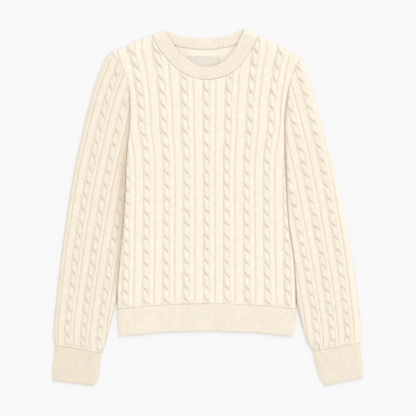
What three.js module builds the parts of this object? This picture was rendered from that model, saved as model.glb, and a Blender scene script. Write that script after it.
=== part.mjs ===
// Cable knit sweater with a crew neck, laid flat on its back. Sizes are in millimetres.
// +X is to the right of a picture of its front, +Y towards the neck, and +Z up off the surface.
import * as THREE from "three";

// Cloth and layers
const WALL = 2.4; // knitted cloth without its cables
const SEAM_GAP = 0.5; // between two pieces along a seam
const ARM_GAP = 0.9; // between a sleeve and the body, whose edges are cut into different steps
const LAYER_GAP = 0.3; // between two layers that lie on each other
const SEAM_Z = WALL + LAYER_GAP; // height of the side seams and folds
const BODY_TOP = 8.6; // level face of the front
const SLEEVE_TOP = 8; // level face of a sleeve
const CUFF_TOP = 6.8; // level face of a cuff
const HEM_TOP = 6.6; // face of the front hem rib at its lower edge
const ARM_SEAM_Z = 5.7; // the valley where a sleeve joins the front

// How far in from an edge the cloth rounds over
const SIDE_ROLL = 26;
const SHOULDER_ROLL = 15;
const SLEEVE_ROLL = 20;
const NECK_ROLL = 14;
const UNDER_ROLL = 5; // the same below the fold, next to the surface

// Armpit: the side seam rolls over below it, and the armhole seam lies open above it
const ARMPIT = { low: 118, high: 150 };

// Rope cables and the bands between them
const MIDDLE_X = -2.5;
const CABLE_HALF = 0.26; // half a cable, as a share of the distance between two cables
const CABLE_LEAN = 7; // half of what a lobe drops as it crosses its cable
const LOBE_STEP = 12.3; // half the length of a lobe, one row of the mesh
const SECTION_START = -0.34; // left end of the section across one cable and one band
// Height over the plain knit along that section, on the crown of a lobe and in the crease.
const CABLE_SECTION = [
  { across: SECTION_START, crown: 1.1, crease: 1.1 },
  { across: -0.26, crown: 0, crease: 0 },
  { across: -0.13, crown: 2.6, crease: 0.9 },
  { across: 0.13, crown: 2.9, crease: 1.1 },
  { across: 0.26, crown: 0, crease: 0 },
  { across: 0.37, crown: 1.1, crease: 1.1 },
  { across: 0.66, crown: 1.1, crease: 1.1 },
  { across: 0.74, crown: 0, crease: 0 },
];
const CABLE_COLUMNS = [-0.26, -0.13, 0.13, 0.26, 0.37, 0.66];

// Ribs
const NECK_RIB = 5.4;
const HEM_RIB = 4;
const CUFF_RIB = 3.8;
const RIB_RISE = 0.9;
const EDGE_SHARE = 0.4; // share of a relief's height that is left at a piece's edge

// How far in from an edge a relief fades out
const SIDE_FADE = 7;
const FOLD_FADE = 6;
const LEAN_FADE = 12;

// Distance between two cables of the front, which fan out towards the shoulders
const CABLE_SPACING = [
  { y: 299, apart: 47.5 },
  { y: 270, apart: 44.8 },
  { y: 242, apart: 43.3 },
  { y: 193, apart: 41.2 },
  { y: 150, apart: 40.6 },
  { y: 90, apart: 38 },
  { y: -43, apart: 38 },
  { y: -182, apart: 38.6 },
];

// Edge of the body from each shoulder tip down the armhole and the side to the hem
const LEFT_EDGE = [
  { y: 295.3, x: -184.6 },
  { y: 269.6, x: -164.6 },
  { y: 229.7, x: -150.4 },
  { y: 190, x: -147.8 },
  { y: 156.9, x: -148.6 },
  { y: 135.7, x: -151 },
  { y: 77.7, x: -155.6 },
  { y: 19.8, x: -157.6 },
  { y: -46.7, x: -162.4 },
  { y: -107.5, x: -168 },
  { y: -156.9, x: -172.2 },
  { y: -191, x: -172.9 },
  { y: -221.5, x: -172 },
  { y: -246.2, x: -169.6 },
];
const RIGHT_EDGE = [
  { y: 283.9, x: 178.6 },
  { y: 269.6, x: 168.3 },
  { y: 244, x: 158 },
  { y: 217.4, x: 151.3 },
  { y: 185, x: 147 },
  { y: 156.6, x: 145.4 },
  { y: 128.1, x: 145.6 },
  { y: 74.9, x: 147.2 },
  { y: -29.6, x: 153.4 },
  { y: -79, x: 160.6 },
  { y: -117, x: 164.6 },
  { y: -181.6, x: 168 },
  { y: -206.3, x: 167.9 },
  { y: -246.2, x: 161.6 },
];

// Shoulder line of the body on each side, from its tip to the neckband
const LEFT_SHOULDER = [
  { x: -184.6, y: 295.3 },
  { x: -126.4, y: 321.4 },
  { x: -105.9, y: 327.8 },
];
const RIGHT_SHOULDER = [
  { x: 178.6, y: 283.9 },
  { x: 149.6, y: 299.1 },
  { x: 104.4, y: 321.9 },
  { x: 96.4, y: 325.5 },
];
const SHOULDER_SLOPE = 0.5; // slope of the shoulder line carried on over the neck

// Neckband, front from the left fold to the right one: its seam with the body and its free edge
const NECK_FRONT = [
  { seamX: -105.9, seamY: 327.8, freeX: -81.8, freeY: 337.4 },
  { seamX: -98.7, seamY: 309.7, freeX: -74.2, freeY: 321.9 },
  { seamX: -87.1, seamY: 292.4, freeX: -65.3, freeY: 308.6 },
  { seamX: -70, seamY: 272.8, freeX: -52, freeY: 293.4 },
  { seamX: -50.3, seamY: 256.3, freeX: -36.8, freeY: 280.1 },
  { seamX: -28.4, seamY: 246.6, freeX: -20.6, freeY: 270.6 },
  { seamX: -5.4, seamY: 242.1, freeX: -4.5, freeY: 266.8 },
  { seamX: 16.4, seamY: 244.2, freeX: 12.6, freeY: 268.7 },
  { seamX: 39.4, seamY: 251.6, freeX: 27.8, freeY: 276.3 },
  { seamX: 58.8, seamY: 266, freeX: 40.2, freeY: 287.7 },
  { seamX: 75.9, seamY: 287.7, freeX: 51.6, freeY: 302.9 },
  { seamX: 87.9, seamY: 307.8, freeX: 60.7, freeY: 320 },
  { seamX: 96.4, seamY: 325.5, freeX: 68.5, freeY: 338.8 },
];
// The same at the back, from the left fold to the right one
const NECK_BACK = [
  { seamX: -105.9, seamY: 327.8, freeX: -81.8, freeY: 337.4 },
  { seamX: -81.4, seamY: 313.3, freeX: -68.1, freeY: 332.3 },
  { seamX: -51, seamY: 304.8, freeX: -47.2, freeY: 326 },
  { seamX: -5.4, seamY: 300, freeX: -6.4, freeY: 322.6 },
  { seamX: 38.3, seamY: 305.1, freeX: 34.5, freeY: 326.4 },
  { seamX: 70.6, seamY: 314.3, freeX: 55.4, freeY: 334.6 },
  { seamX: 96.4, seamY: 325.5, freeX: 68.5, freeY: 338.8 },
];

// Hem: its seam with the body and its lower edge, each bowed up in the middle
const HEM_SEAM = { y: -182.6, bow: 10.6, halfWidth: 170 };
const HEM_EDGE = { y: -235.8, bow: 10.4, halfWidth: 166 };
const HEM_CORNER = { from: 0.9, slope: 7 }; // where and how steeply its lower corners are cut back

// A knitted row's rise towards its middle, for one cable's distance, which grows from hem to chest
const HEM_BOW = HEM_SEAM.bow / 4.4 ** 2;
const CHEST_BOW = 1.6;
const BOW_REACH = 380;

// Outer fold of each sleeve, from the shoulder tip to the cuff seam
const LEFT_FOLD = [
  { y: 295.3, x: -184.6 },
  { y: 287.7, x: -193.2 },
  { y: 265, x: -203.8 },
  { y: 219, x: -220 },
  { y: 158.5, x: -235.3 },
  { y: 97.7, x: -248.8 },
  { y: 37, x: -260 },
  { y: -54, x: -273.9 },
  { y: -145.5, x: -285.2 },
  { y: -236.7, x: -294 },
  { y: -261.4, x: -291.9 },
];
const RIGHT_FOLD = [
  { y: 283.9, x: 179.2 },
  { y: 265, x: 187 },
  { y: 234.5, x: 196.6 },
  { y: 174, x: 214 },
  { y: 82.5, x: 237.9 },
  { y: -8.7, x: 258.2 },
  { y: -100, x: 275.4 },
  { y: -191, x: 288.1 },
  { y: -236.7, x: 293.2 },
  { y: -257, x: 291.2 },
];
// Inner edge of each sleeve where it leaves the body, above the cuff
const LEFT_FREE = [
  { y: -180, x: -174.2 },
  { y: -206, x: -181.4 },
  { y: -237, x: -188.8 },
  { y: -267, x: -197.4 },
  { y: -278, x: -203.4 },
];
const RIGHT_FREE = [
  { y: -184, x: 169.2 },
  { y: -206, x: 174.3 },
  { y: -237, x: 182.7 },
  { y: -261, x: 191.4 },
  { y: -273, x: 199.6 },
];
// Each cuff's outer and inner edge, from its seam to its end
const LEFT_CUFF = [
  { outerX: -291.6, outerY: -262, innerX: -203.6, innerY: -278.4 },
  { outerX: -293.1, outerY: -284, innerX: -204.6, innerY: -294 },
  { outerX: -296, outerY: -306, innerX: -205.6, innerY: -311 },
  { outerX: -296.4, outerY: -318, innerX: -209, innerY: -327 },
  { outerX: -295.2, outerY: -329.6, innerX: -217.4, innerY: -339.4 },
];
const RIGHT_CUFF = [
  { outerX: 291.2, outerY: -257.6, innerX: 199.8, innerY: -273.6 },
  { outerX: 293.4, outerY: -282, innerX: 204.6, innerY: -296 },
  { outerX: 295.4, outerY: -300, innerX: 208.6, innerY: -313 },
  { outerX: 296.6, outerY: -314, innerX: 214.4, innerY: -328 },
  { outerX: 295.8, outerY: -324.6, innerX: 222.6, innerY: -340 },
];
// How far the first shown cable of each sleeve lies in from the fold, and the next ones after it
const LEFT_SLEEVE_CABLE = [
  { y: 280, first: 32, apart: 34 },
  { y: 30, first: 29, apart: 34 },
  { y: -250, first: 26.6, apart: 30.6 },
];
const RIGHT_SLEEVE_CABLE = [
  { y: 280, first: 16, apart: 34.5 },
  { y: 120, first: 19.5, apart: 34.5 },
  { y: -20, first: 25, apart: 33 },
  { y: -250, first: 28.6, apart: 29.4 },
];
// Slope of a sleeve's knitted rows, down towards the body
const SLEEVE_ROW_SLOPE = [
  { y: 280, slope: 0.28 },
  { y: -260, slope: 0.17 },
];

// Bare label inside the back neck
const LABEL = { left: -42.8, right: 22.5, top: 287.5, bottom: 254, corner: 4, thick: 0.6 };

// Small sums

const clamp = (value, low, high) => Math.min(Math.max(value, low), high);
const mix = (a, b, t) => a + (b - a) * t;
const ease = (t) => clamp(t, 0, 1) ** 2 * (3 - 2 * clamp(t, 0, 1));
// Height of a rounded edge, from 0 at the edge to 1 at `roll` in from it.
const rounded = (inFromEdge, roll) => Math.sqrt(1 - (1 - clamp(inFromEdge / roll, 0, 1)) ** 2);

// A smooth curve through one column of a table against another, level past both ends.
function through(table, input, output) {
  const rows = [...table].sort((a, b) => a[input] - b[input]);
  const slope = (k) => {
    const before = rows[Math.max(k - 1, 0)];
    const after = rows[Math.min(k + 1, rows.length - 1)];
    return (after[output] - before[output]) / (after[input] - before[input]);
  };
  return (value) => {
    const at = clamp(value, rows[0][input], rows.at(-1)[input]);
    const k = Math.max(1, rows.findIndex((row) => row[input] >= at));
    const [a, b] = [rows[k - 1], rows[k]];
    const span = b[input] - a[input];
    const t = (at - a[input]) / span;
    const bend = slope(k - 1) * span * t * (1 - t) ** 2 - slope(k) * span * t * t * (1 - t);
    return a[output] + (b[output] - a[output]) * t * t * (3 - 2 * t) + bend;
  };
}

// Straight lines through one column of a table against another.
function straight(table, input, output) {
  return (value) => {
    const k = clamp(table.findIndex((row) => row[input] >= value), 1, table.length - 1);
    const [a, b] = [table[k - 1], table[k]];
    return mix(a[output], b[output], (value - a[input]) / (b[input] - a[input]));
  };
}

// Where `step(value)` gives back its own value.
const SETTLE_TURNS = 40;
function settle(start, step) {
  let value = start;
  for (let turn = 0; turn < SETTLE_TURNS; turn += 1) value = step(value);
  return value;
}

// Cable pattern

const crownRise = straight(CABLE_SECTION, "across", "crown");
const creaseRise = straight(CABLE_SECTION, "across", "crease");

// Height over the plain knit, `cables` cable spacings from a cable's middle.
// `crown` is 1 on a lobe's crown and 0 in its crease.
function cableRise(cables, crown) {
  const fromCable = cables - Math.floor(cables - SECTION_START);
  return mix(creaseRise(fromCable), crownRise(fromCable), crown);
}

// How far a row of lobes drops as it crosses a cable to the right, and comes back over the band.
function cableLean(cables) {
  const across = cables - Math.round(cables);
  const over = Math.max(Math.abs(across) - CABLE_HALF, 0) / (0.5 - CABLE_HALF);
  return (-CABLE_LEAN * clamp(across, -CABLE_HALF, CABLE_HALF) * (1 - over)) / CABLE_HALF;
}

// Cable columns from one cable to another, as cable spacings.
function cableColumns(firstCable, lastCable) {
  const columns = [];
  for (let cable = firstCable; cable <= lastCable; cable += 1) {
    columns.push(...CABLE_COLUMNS.map((across) => cable + across));
  }
  return columns;
}

// Joining grids of points into solids

// Triangles between two rows of points with keys that rise together.
function zip(first, second) {
  const faces = [];
  let [i, j] = [0, 0];
  while (i < first.length - 1 || j < second.length - 1) {
    const nextFirst = i < first.length - 1 ? first[i + 1].order : Infinity;
    const nextSecond = j < second.length - 1 ? second[j + 1].order : Infinity;
    if (nextFirst <= nextSecond) {
      faces.push([first[i].point, first[i + 1].point, second[j].point]);
      i += 1;
    } else {
      faces.push([first[i].point, second[j + 1].point, second[j].point]);
      j += 1;
    }
  }
  return faces;
}

// Points of one face of a piece of cloth, a row at a time. `at(column, row)` gives [x, y, z].
function grid(columns, rows, at) {
  return { columns, rows, points: rows.map((row) => columns.map((column) => at(column, row))) };
}

// One closed solid of cloth between a face that looks out and a face that looks in.
function cloth(name, colour, outer, inner, mirrored = false) {
  const faces = [];
  const addFace = ({ points }, outwards) => {
    for (let j = 0; j < points.length - 1; j += 1) {
      for (let i = 0; i < points[j].length - 1; i += 1) {
        const [a, b] = [points[j][i], points[j][i + 1]];
        const [d, c] = [points[j + 1][i], points[j + 1][i + 1]];
        faces.push(...(outwards ? [[a, d, c], [a, c, b]] : [[a, c, d], [a, b, c]]));
      }
    }
  };
  addFace(outer, true);
  addFace(inner, false);
  const border = ({ columns, rows, points }, side) => {
    const last = columns.length - 1;
    if (side === "top") return columns.map((c, i) => ({ order: c.key, point: points[0][i] }));
    if (side === "right") return rows.map((r, j) => ({ order: r.key, point: points[j][last] }));
    if (side === "bottom") {
      return columns.map((c, i) => ({ order: -c.key, point: points.at(-1)[i] })).reverse();
    }
    return rows.map((r, j) => ({ order: -r.key, point: points[j][0] })).reverse();
  };
  for (const side of ["top", "right", "bottom", "left"]) {
    faces.push(...zip(border(outer, side), border(inner, side)));
  }
  return solid(name, colour, faces, mirrored);
}

// A named mesh of triangles, with equal points merged and the triangles that this closes left out.
function solid(name, colour, faces, mirrored) {
  const numbers = new Map();
  const positions = [];
  const numberOf = (point) => {
    const place = point.map((value) => Math.round(value * 1000)).join();
    if (!numbers.has(place)) {
      numbers.set(place, numbers.size);
      positions.push(...point);
    }
    return numbers.get(place);
  };
  const index = [];
  for (const face of faces) {
    const [a, b, c] = face.map(numberOf);
    if (a === b || b === c || c === a) continue;
    index.push(...(mirrored ? [a, c, b] : [a, b, c]));
  }
  const geometry = new THREE.BufferGeometry();
  geometry.setAttribute("position", new THREE.Float32BufferAttribute(positions, 3));
  geometry.setIndex(index);
  geometry.computeVertexNormals();
  const material = new THREE.MeshStandardMaterial({ color: colour, roughness: 0.95, metalness: 0 });
  const mesh = new THREE.Mesh(geometry, material);
  mesh.name = name;
  return mesh;
}

// Body: its outline and the height of its front

const bodyLeft = through(LEFT_EDGE, "y", "x");
const bodyRight = through(RIGHT_EDGE, "y", "x");
const cableSpacing = through(CABLE_SPACING, "y", "apart");
const neckFront = through(NECK_FRONT, "seamX", "seamY");
const neckBack = through(NECK_BACK, "seamX", "seamY");
const leftShoulder = through(LEFT_SHOULDER, "x", "y");
const rightShoulder = through(RIGHT_SHOULDER, "x", "y");
const NECK_LEFT = NECK_FRONT[0];
const NECK_RIGHT = NECK_FRONT.at(-1);

// Shoulder line, carried on upwards over the neck.
function shoulderLine(x) {
  const overLeft = Math.max(x - NECK_LEFT.seamX, 0) * SHOULDER_SLOPE;
  const overRight = Math.max(NECK_RIGHT.seamX - x, 0) * SHOULDER_SLOPE;
  return x < MIDDLE_X ? leftShoulder(x) + overLeft : rightShoulder(x) + overRight;
}

// Upper edge of a panel: the shoulder, or the neck seam between its two ends.
function upperEdge(x, neckSeam, inset) {
  const shoulder = shoulderLine(x) - inset;
  const atNeck = x > NECK_LEFT.seamX && x < NECK_RIGHT.seamX;
  return atNeck ? Math.min(neckSeam(x), shoulder) : shoulder;
}

// 1 along the open armhole seam, 0 along the rolled side below the armpit.
const armhole = (y) => ease((y - ARMPIT.low) / (ARMPIT.high - ARMPIT.low));

// Rise of a layer at a side edge, from its share at the seam to 1 at the level stretch.
function sideRise(inFromEdge, y, top, inset, roll) {
  const full = top - inset - SEAM_Z;
  const atSeam = (armhole(y) * Math.max(ARM_SEAM_Z - inset - SEAM_Z, 0)) / full;
  const from = inFromEdge - edgeInset(inset, armhole(y));
  return atSeam + (1 - atSeam) * rounded(from, roll - inset);
}

// Height of the front's outer face, or of its inner face where inset is the wall.
function frontHeight(x, y, inset) {
  const sides =
    sideRise(x - bodyLeft(y), y, BODY_TOP, inset, SIDE_ROLL) *
    sideRise(bodyRight(y) - x, y, BODY_TOP, inset, SIDE_ROLL);
  const shoulder = rounded(shoulderLine(x) - y - inset, SHOULDER_ROLL - inset);
  return SEAM_Z + (BODY_TOP - inset - SEAM_Z) * sides * shoulder;
}

// Columns of a panel: some follow its sides, and the others its cables.
const BODY_SIDE_COLUMNS = [0, 1.2, 4, 9];
const INNER_SIDE_COLUMNS = [0, 3, 9];
const BODY_EDGE_ROWS = [0, 3, 8];
const INNER_EDGE_ROWS = [0, 4, 8];
const BACK_EDGE_ROWS = [0, 8];
const SIDE_KEY = 20; // order of the side columns, beyond all the cables
const ROW_KEY = 100; // order of the knitted rows, after those at the upper edge
const CORNER_CLEARANCE = 0.04; // cable spacings between a column and one at the neck's ends
const OPEN_INSET = 0.6; // share of a wall by which its inner face draws back from an open seam
const edgeInset = (inset, open) => inset * mix(1, OPEN_INSET, open);
const leftOf = (y, inset) => bodyLeft(y) + edgeInset(inset, armhole(y));
const rightOf = (y, inset) => bodyRight(y) - edgeInset(inset, armhole(y));
const fromLeft = (d) => ({ key: d / 10 - SIDE_KEY, x: (y, inset) => leftOf(y, inset) + d });
const fromRight = (d) => ({ key: SIDE_KEY - d / 10, x: (y, inset) => rightOf(y, inset) - d });
const onCable = (cables) => ({
  key: cables,
  x: (y, inset) => {
    const margin = BODY_SIDE_COLUMNS.at(-1);
    const free = MIDDLE_X + cableSpacing(y) * cables;
    return clamp(free, leftOf(y, inset) + margin, rightOf(y, inset) - margin);
  },
});
// The two columns that run down from the neck's ends, where the upper edge has its corners.
const cornerColumn = ({ seamX, seamY }) => onCable((seamX - MIDDLE_X) / cableSpacing(seamY));

function bodyColumns(sides, cables) {
  const corners = [cornerColumn(NECK_LEFT), cornerColumn(NECK_RIGHT)];
  const apart = (a, b) => Math.abs(a.key - b.key) > CORNER_CLEARANCE;
  const clear = (column) => corners.every((corner) => apart(corner, column));
  const columns = [...cables.map(onCable).filter(clear), ...corners];
  columns.push(...sides.map(fromLeft), ...sides.map(fromRight));
  return columns.sort((a, b) => a.key - b.key);
}

// Rows of a panel: some follow its upper edge, and the others its knitted rows, which may be
// closer along the armholes.
const ARMHOLE_STEPS = 16; // lobe steps from the neck's ends down to the armpits
const INNER_STRIDE = { armhole: 2, below: 4 };
function bodyRows(edgeRows, steps, armholeStride, stride) {
  const rows = edgeRows.map((drop) => ({ key: drop, drop }));
  for (let step = 0; step <= steps; step += step < ARMHOLE_STEPS ? armholeStride : stride) {
    const level = mix(shoulderLine(NECK_RIGHT.seamX), HEM_SEAM.y, step / steps);
    rows.push({ key: ROW_KEY + step, level, crown: 1 - (step % 2), isLast: step === steps });
  }
  return rows;
}

// A knitted row's rise towards its middle at a level.
const rowBow = (level) =>
  mix(HEM_BOW, CHEST_BOW, clamp((level - HEM_SEAM.y) / BOW_REACH, 0, 1));

const UPPER_LEVEL = 300; // from which a column's upper end is sought

// Places of a panel's columns and rows, as x, y and how far the row is on the lobes' crowns.
// `lean` is 1 for rows that follow the lobes and 0 for plain ones.
function bodyPlace(neckSeam, inset, lean) {
  const tops = new Map();
  const topOf = (column) => {
    if (!tops.has(column.key)) {
      const top = settle(UPPER_LEVEL, (y) => upperEdge(column.x(y, inset), neckSeam, inset));
      tops.set(column.key, top);
    }
    return tops.get(column.key);
  };
  return (column, row) => {
    const top = topOf(column);
    if (row.drop !== undefined) return [column.x(top - row.drop, inset), top - row.drop, 0.5];
    const free = settle(row.level, (y) => {
      const cables = (column.x(y, inset) - MIDDLE_X) / cableSpacing(y);
      const drop = row.isLast ? 0 : lean * cableLean(cables);
      return row.level - rowBow(row.level) * cables ** 2 + drop;
    });
    const lowest = top - BODY_EDGE_ROWS.at(-1);
    const y = Math.min(free, lowest);
    return [column.x(y, inset), y, free < lowest ? row.crown : 0.5];
  };
}

const BODY_DEPTH = shoulderLine(NECK_RIGHT.seamX) - HEM_SEAM.y;
const BODY_STEPS = Math.round(BODY_DEPTH / LOBE_STEP / 4) * 4;
const BACK_COLUMNS = [-3.3, -2.6, -2, -1.75, -1.5, -1.2, -0.9, -0.6, -0.3];
BACK_COLUMNS.push(0, ...BACK_COLUMNS.map((cables) => -cables));
const UNDER_COLUMNS = [-3.2, -2.4, -1.8, -1.4, -1, -0.5, 0, 0.5, 1, 1.4, 1.8, 2.4, 3.2];
// More columns where the neck seam runs steeply down from the shoulders.
const STEEP_NECK = [-2.06, -1.97, 1.97, 2.06];
const INNER_HALF = [0.4, 0.8, 1.2, 1.5, 1.7, 1.87, 1.97, 2.06, 2.8, 3.6];
const INNER_COLUMNS = [...INNER_HALF.map((cables) => -cables), 0, ...INNER_HALF];
const UNDER_INSET = 1.2; // how far the lower face of the back draws in from its edges

function frontPanel() {
  const place = bodyPlace(neckFront, 0, 1);
  const outer = grid(
    bodyColumns(BODY_SIDE_COLUMNS, [...cableColumns(-4, 4), ...STEEP_NECK]),
    bodyRows(BODY_EDGE_ROWS, BODY_STEPS, 1, 1),
    (column, row) => {
      const [x, y, crown] = place(column, row);
      const atSides = [x - bodyLeft(y), bodyRight(y) - x].map((d) => ease(d / SIDE_FADE));
      const fade = atSides[0] * atSides[1];
      const fromTop = row.drop === undefined ? 1 : row.drop / BODY_EDGE_ROWS.at(-1);
      const rise = cableRise((x - MIDDLE_X) / cableSpacing(y), crown);
      return [x, y, frontHeight(x, y, 0) + rise * fade * mix(EDGE_SHARE, 1, fromTop)];
    },
  );
  const placeInner = bodyPlace(neckFront, WALL, 0);
  const inner = grid(
    bodyColumns(INNER_SIDE_COLUMNS, INNER_COLUMNS),
    bodyRows(INNER_EDGE_ROWS, BODY_STEPS, INNER_STRIDE.armhole, INNER_STRIDE.below),
    (column, row) => {
      const [x, y] = placeInner(column, row);
      return [x, y, frontHeight(x, y, WALL)];
    },
  );
  return cloth("front_panel", "#f6edde", outer, inner);
}

function backPanel() {
  const place = bodyPlace(neckBack, 0, 0);
  const above = (column, row) => [...place(column, row).slice(0, 2), WALL];
  const placeUnder = bodyPlace(neckBack, UNDER_INSET, 0);
  const under = (column, row) => [...placeUnder(column, row).slice(0, 2), 0];
  const rows = bodyRows(BACK_EDGE_ROWS, BODY_STEPS, INNER_STRIDE.armhole, INNER_STRIDE.below);
  const upper = grid(bodyColumns([0], BACK_COLUMNS), rows, above);
  const lower = grid(bodyColumns([0], UNDER_COLUMNS), rows, under);
  return cloth("back_panel", "#f4ebdb", upper, lower);
}

// Hem rib

const hemLine = ({ y, bow, halfWidth }, x) => y - bow * ((x - MIDDLE_X) / halfWidth) ** 2;
const hemY = (x, down) => mix(hemLine(HEM_SEAM, x) - SEAM_GAP, hemLine(HEM_EDGE, x), down);
const HEM_ROWS = [0, 0.94, 1];
const HEM_INNER_STEPS = { across: 36, down: 2 };
const HEM_BACK_STEPS = { across: 24, down: 2 };

// Point of the hem at a share of its width and of its depth.
function hemPlace(across, down, inset) {
  const rowAt = (side) => settle(side(HEM_SEAM.y), (x) => side(hemY(x, down)));
  const corner = HEM_CORNER.slope * Math.max(down - HEM_CORNER.from, 0);
  const left = rowAt(bodyLeft) + inset + corner;
  const right = rowAt(bodyRight) - inset - corner;
  const x = mix(left, right, across);
  return [x, hemY(x, down), x - left + inset, right + inset - x];
}

// Even shares from 0 to 1 as columns or rows.
const shares = (count) =>
  Array.from({ length: count + 1 }, (_, i) => ({ key: i / count, share: i / count, odd: i % 2 }));

function frontHemRib() {
  const height = (column, row, inset) => {
    const [x, y, fromLeftEdge, fromRightEdge] = hemPlace(column.share, row.share, inset);
    const top = mix(BODY_TOP, HEM_TOP, row.share) - inset;
    const sides =
      rounded(fromLeftEdge - inset, SIDE_ROLL - inset) *
      rounded(fromRightEdge - inset, SIDE_ROLL - inset);
    return [x, y, SEAM_Z + (top - SEAM_Z) * sides];
  };
  const width = bodyRight(HEM_SEAM.y) - bodyLeft(HEM_SEAM.y);
  const ribs = shares(2 * Math.round(width / HEM_RIB));
  const edgeRows = HEM_ROWS.map((share) => ({ key: share, share }));
  const outer = grid(ribs, edgeRows, (column, row) => {
    const [x, y, z] = height(column, row, 0);
    const inside = row.share < 1 ? 1 : EDGE_SHARE;
    const ends = column.share > 0 && column.share < 1;
    return [x, y, z + (column.odd && ends ? RIB_RISE * inside : 0)];
  });
  const { across, down } = HEM_INNER_STEPS;
  const inner = grid(shares(across), shares(down), (column, row) => height(column, row, WALL));
  return cloth("front_hem_rib", "#f4e9d9", outer, inner);
}

function backHemRib() {
  const above = (column, row) => [...hemPlace(column.share, row.share, 0).slice(0, 2), WALL];
  const under = (column, row) => [
    ...hemPlace(column.share, row.share, UNDER_INSET).slice(0, 2),
    0,
  ];
  const columns = shares(HEM_BACK_STEPS.across);
  const rows = shares(HEM_BACK_STEPS.down);
  return cloth("back_hem_rib", "#f1e6d5", grid(columns, rows, above), grid(columns, rows, under));
}

// Sleeves and cuffs: cloth folded flat round its outer edge, with its seam along the inner one

// Columns round a folded piece: the layer below, the fold, and the layer above.
const belowAt = (key, share) => ({ key, below: true, span: (width) => width * share });
const nearFold = (key, d, below) => ({ key, below, span: (width) => d * foldShare(width) });
const nearSeam = (key, d) => ({ key, span: (width) => width - d * foldShare(width) });
const FOLD_COLUMNS = [0, 1.2, 4, 9];
const BELOW_COLUMNS = [5, 1.6];
const LEAST_WIDTH = 2.4 * FOLD_COLUMNS.at(-1); // on narrower pieces the columns close up
const foldShare = (width) => Math.min(1, width / LEAST_WIDTH);

// A point of a folded piece on the line from its fold to its inner edge.
function foldedPoint(line, column, top, inset, rise) {
  const { fold, edge, open } = line;
  const whole = Math.hypot(edge[0] - fold[0], edge[1] - fold[1]);
  const atFold = Math.min(inset, whole / 4);
  const atEdge = column.below ? 0 : Math.min(edgeInset(inset, open), whole / 4);
  const width = whole - atFold - atEdge;
  const span = column.span(width, line);
  const t = (atFold + span) / whole;
  const place = [mix(fold[0], edge[0], t), mix(fold[1], edge[1], t)];
  if (column.below) {
    const under = SEAM_Z * (1 - rounded(span, UNDER_ROLL));
    return [...place, inset ? Math.max(under, WALL) : under];
  }
  const full = top - inset - SEAM_Z;
  const atSeam = (open * Math.max(ARM_SEAM_Z - inset - SEAM_Z, 0)) / full;
  const seamSide = atSeam + (1 - atSeam) * rounded(width - span, SLEEVE_ROLL - inset);
  const z = SEAM_Z + full * rounded(span, SLEEVE_ROLL - inset) * seamSide;
  const fade = ease(span / FOLD_FADE) * ease((width - span) / FOLD_FADE);
  return [...place, z + rise * fade];
}

// A sleeve's fold, inner edge and cables on one side of the body.
function sleeveShape(side) {
  const left = side < 0;
  const fold = through(left ? LEFT_FOLD : RIGHT_FOLD, "y", "x");
  const freeTable = left ? LEFT_FREE : RIGHT_FREE;
  const free = through(freeTable, "y", "x");
  const body = left ? bodyLeft : bodyRight;
  const cables = left ? LEFT_SLEEVE_CABLE : RIGHT_SLEEVE_CABLE;
  const ends = left ? LEFT_FOLD : RIGHT_FOLD;
  return {
    fold,
    first: through(cables, "y", "first"),
    apart: through(cables, "y", "apart"),
    top: ends[0].y - 3,
    bottom: ends.at(-1).y,
    // The inner edge lies along the body, and then leaves it.
    edge: (y) => {
      const beside = side * body(y) + ARM_GAP;
      return side * (y > freeTable[0].y ? beside : Math.max(beside, side * free(y)));
    },
  };
}

const rowSlope = through(SLEEVE_ROW_SLOPE, "y", "slope");

// The line of one knitted row across a sleeve, from its fold to its inner edge.
function sleeveLine(shape, foldY) {
  const foldX = shape.fold(foldY);
  const edgeY = settle(foldY, (y) => foldY - rowSlope(foldY) * Math.abs(shape.edge(y) - foldX));
  return { fold: [foldX, foldY], edge: [shape.edge(edgeY), edgeY], open: armhole(edgeY) };
}

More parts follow.
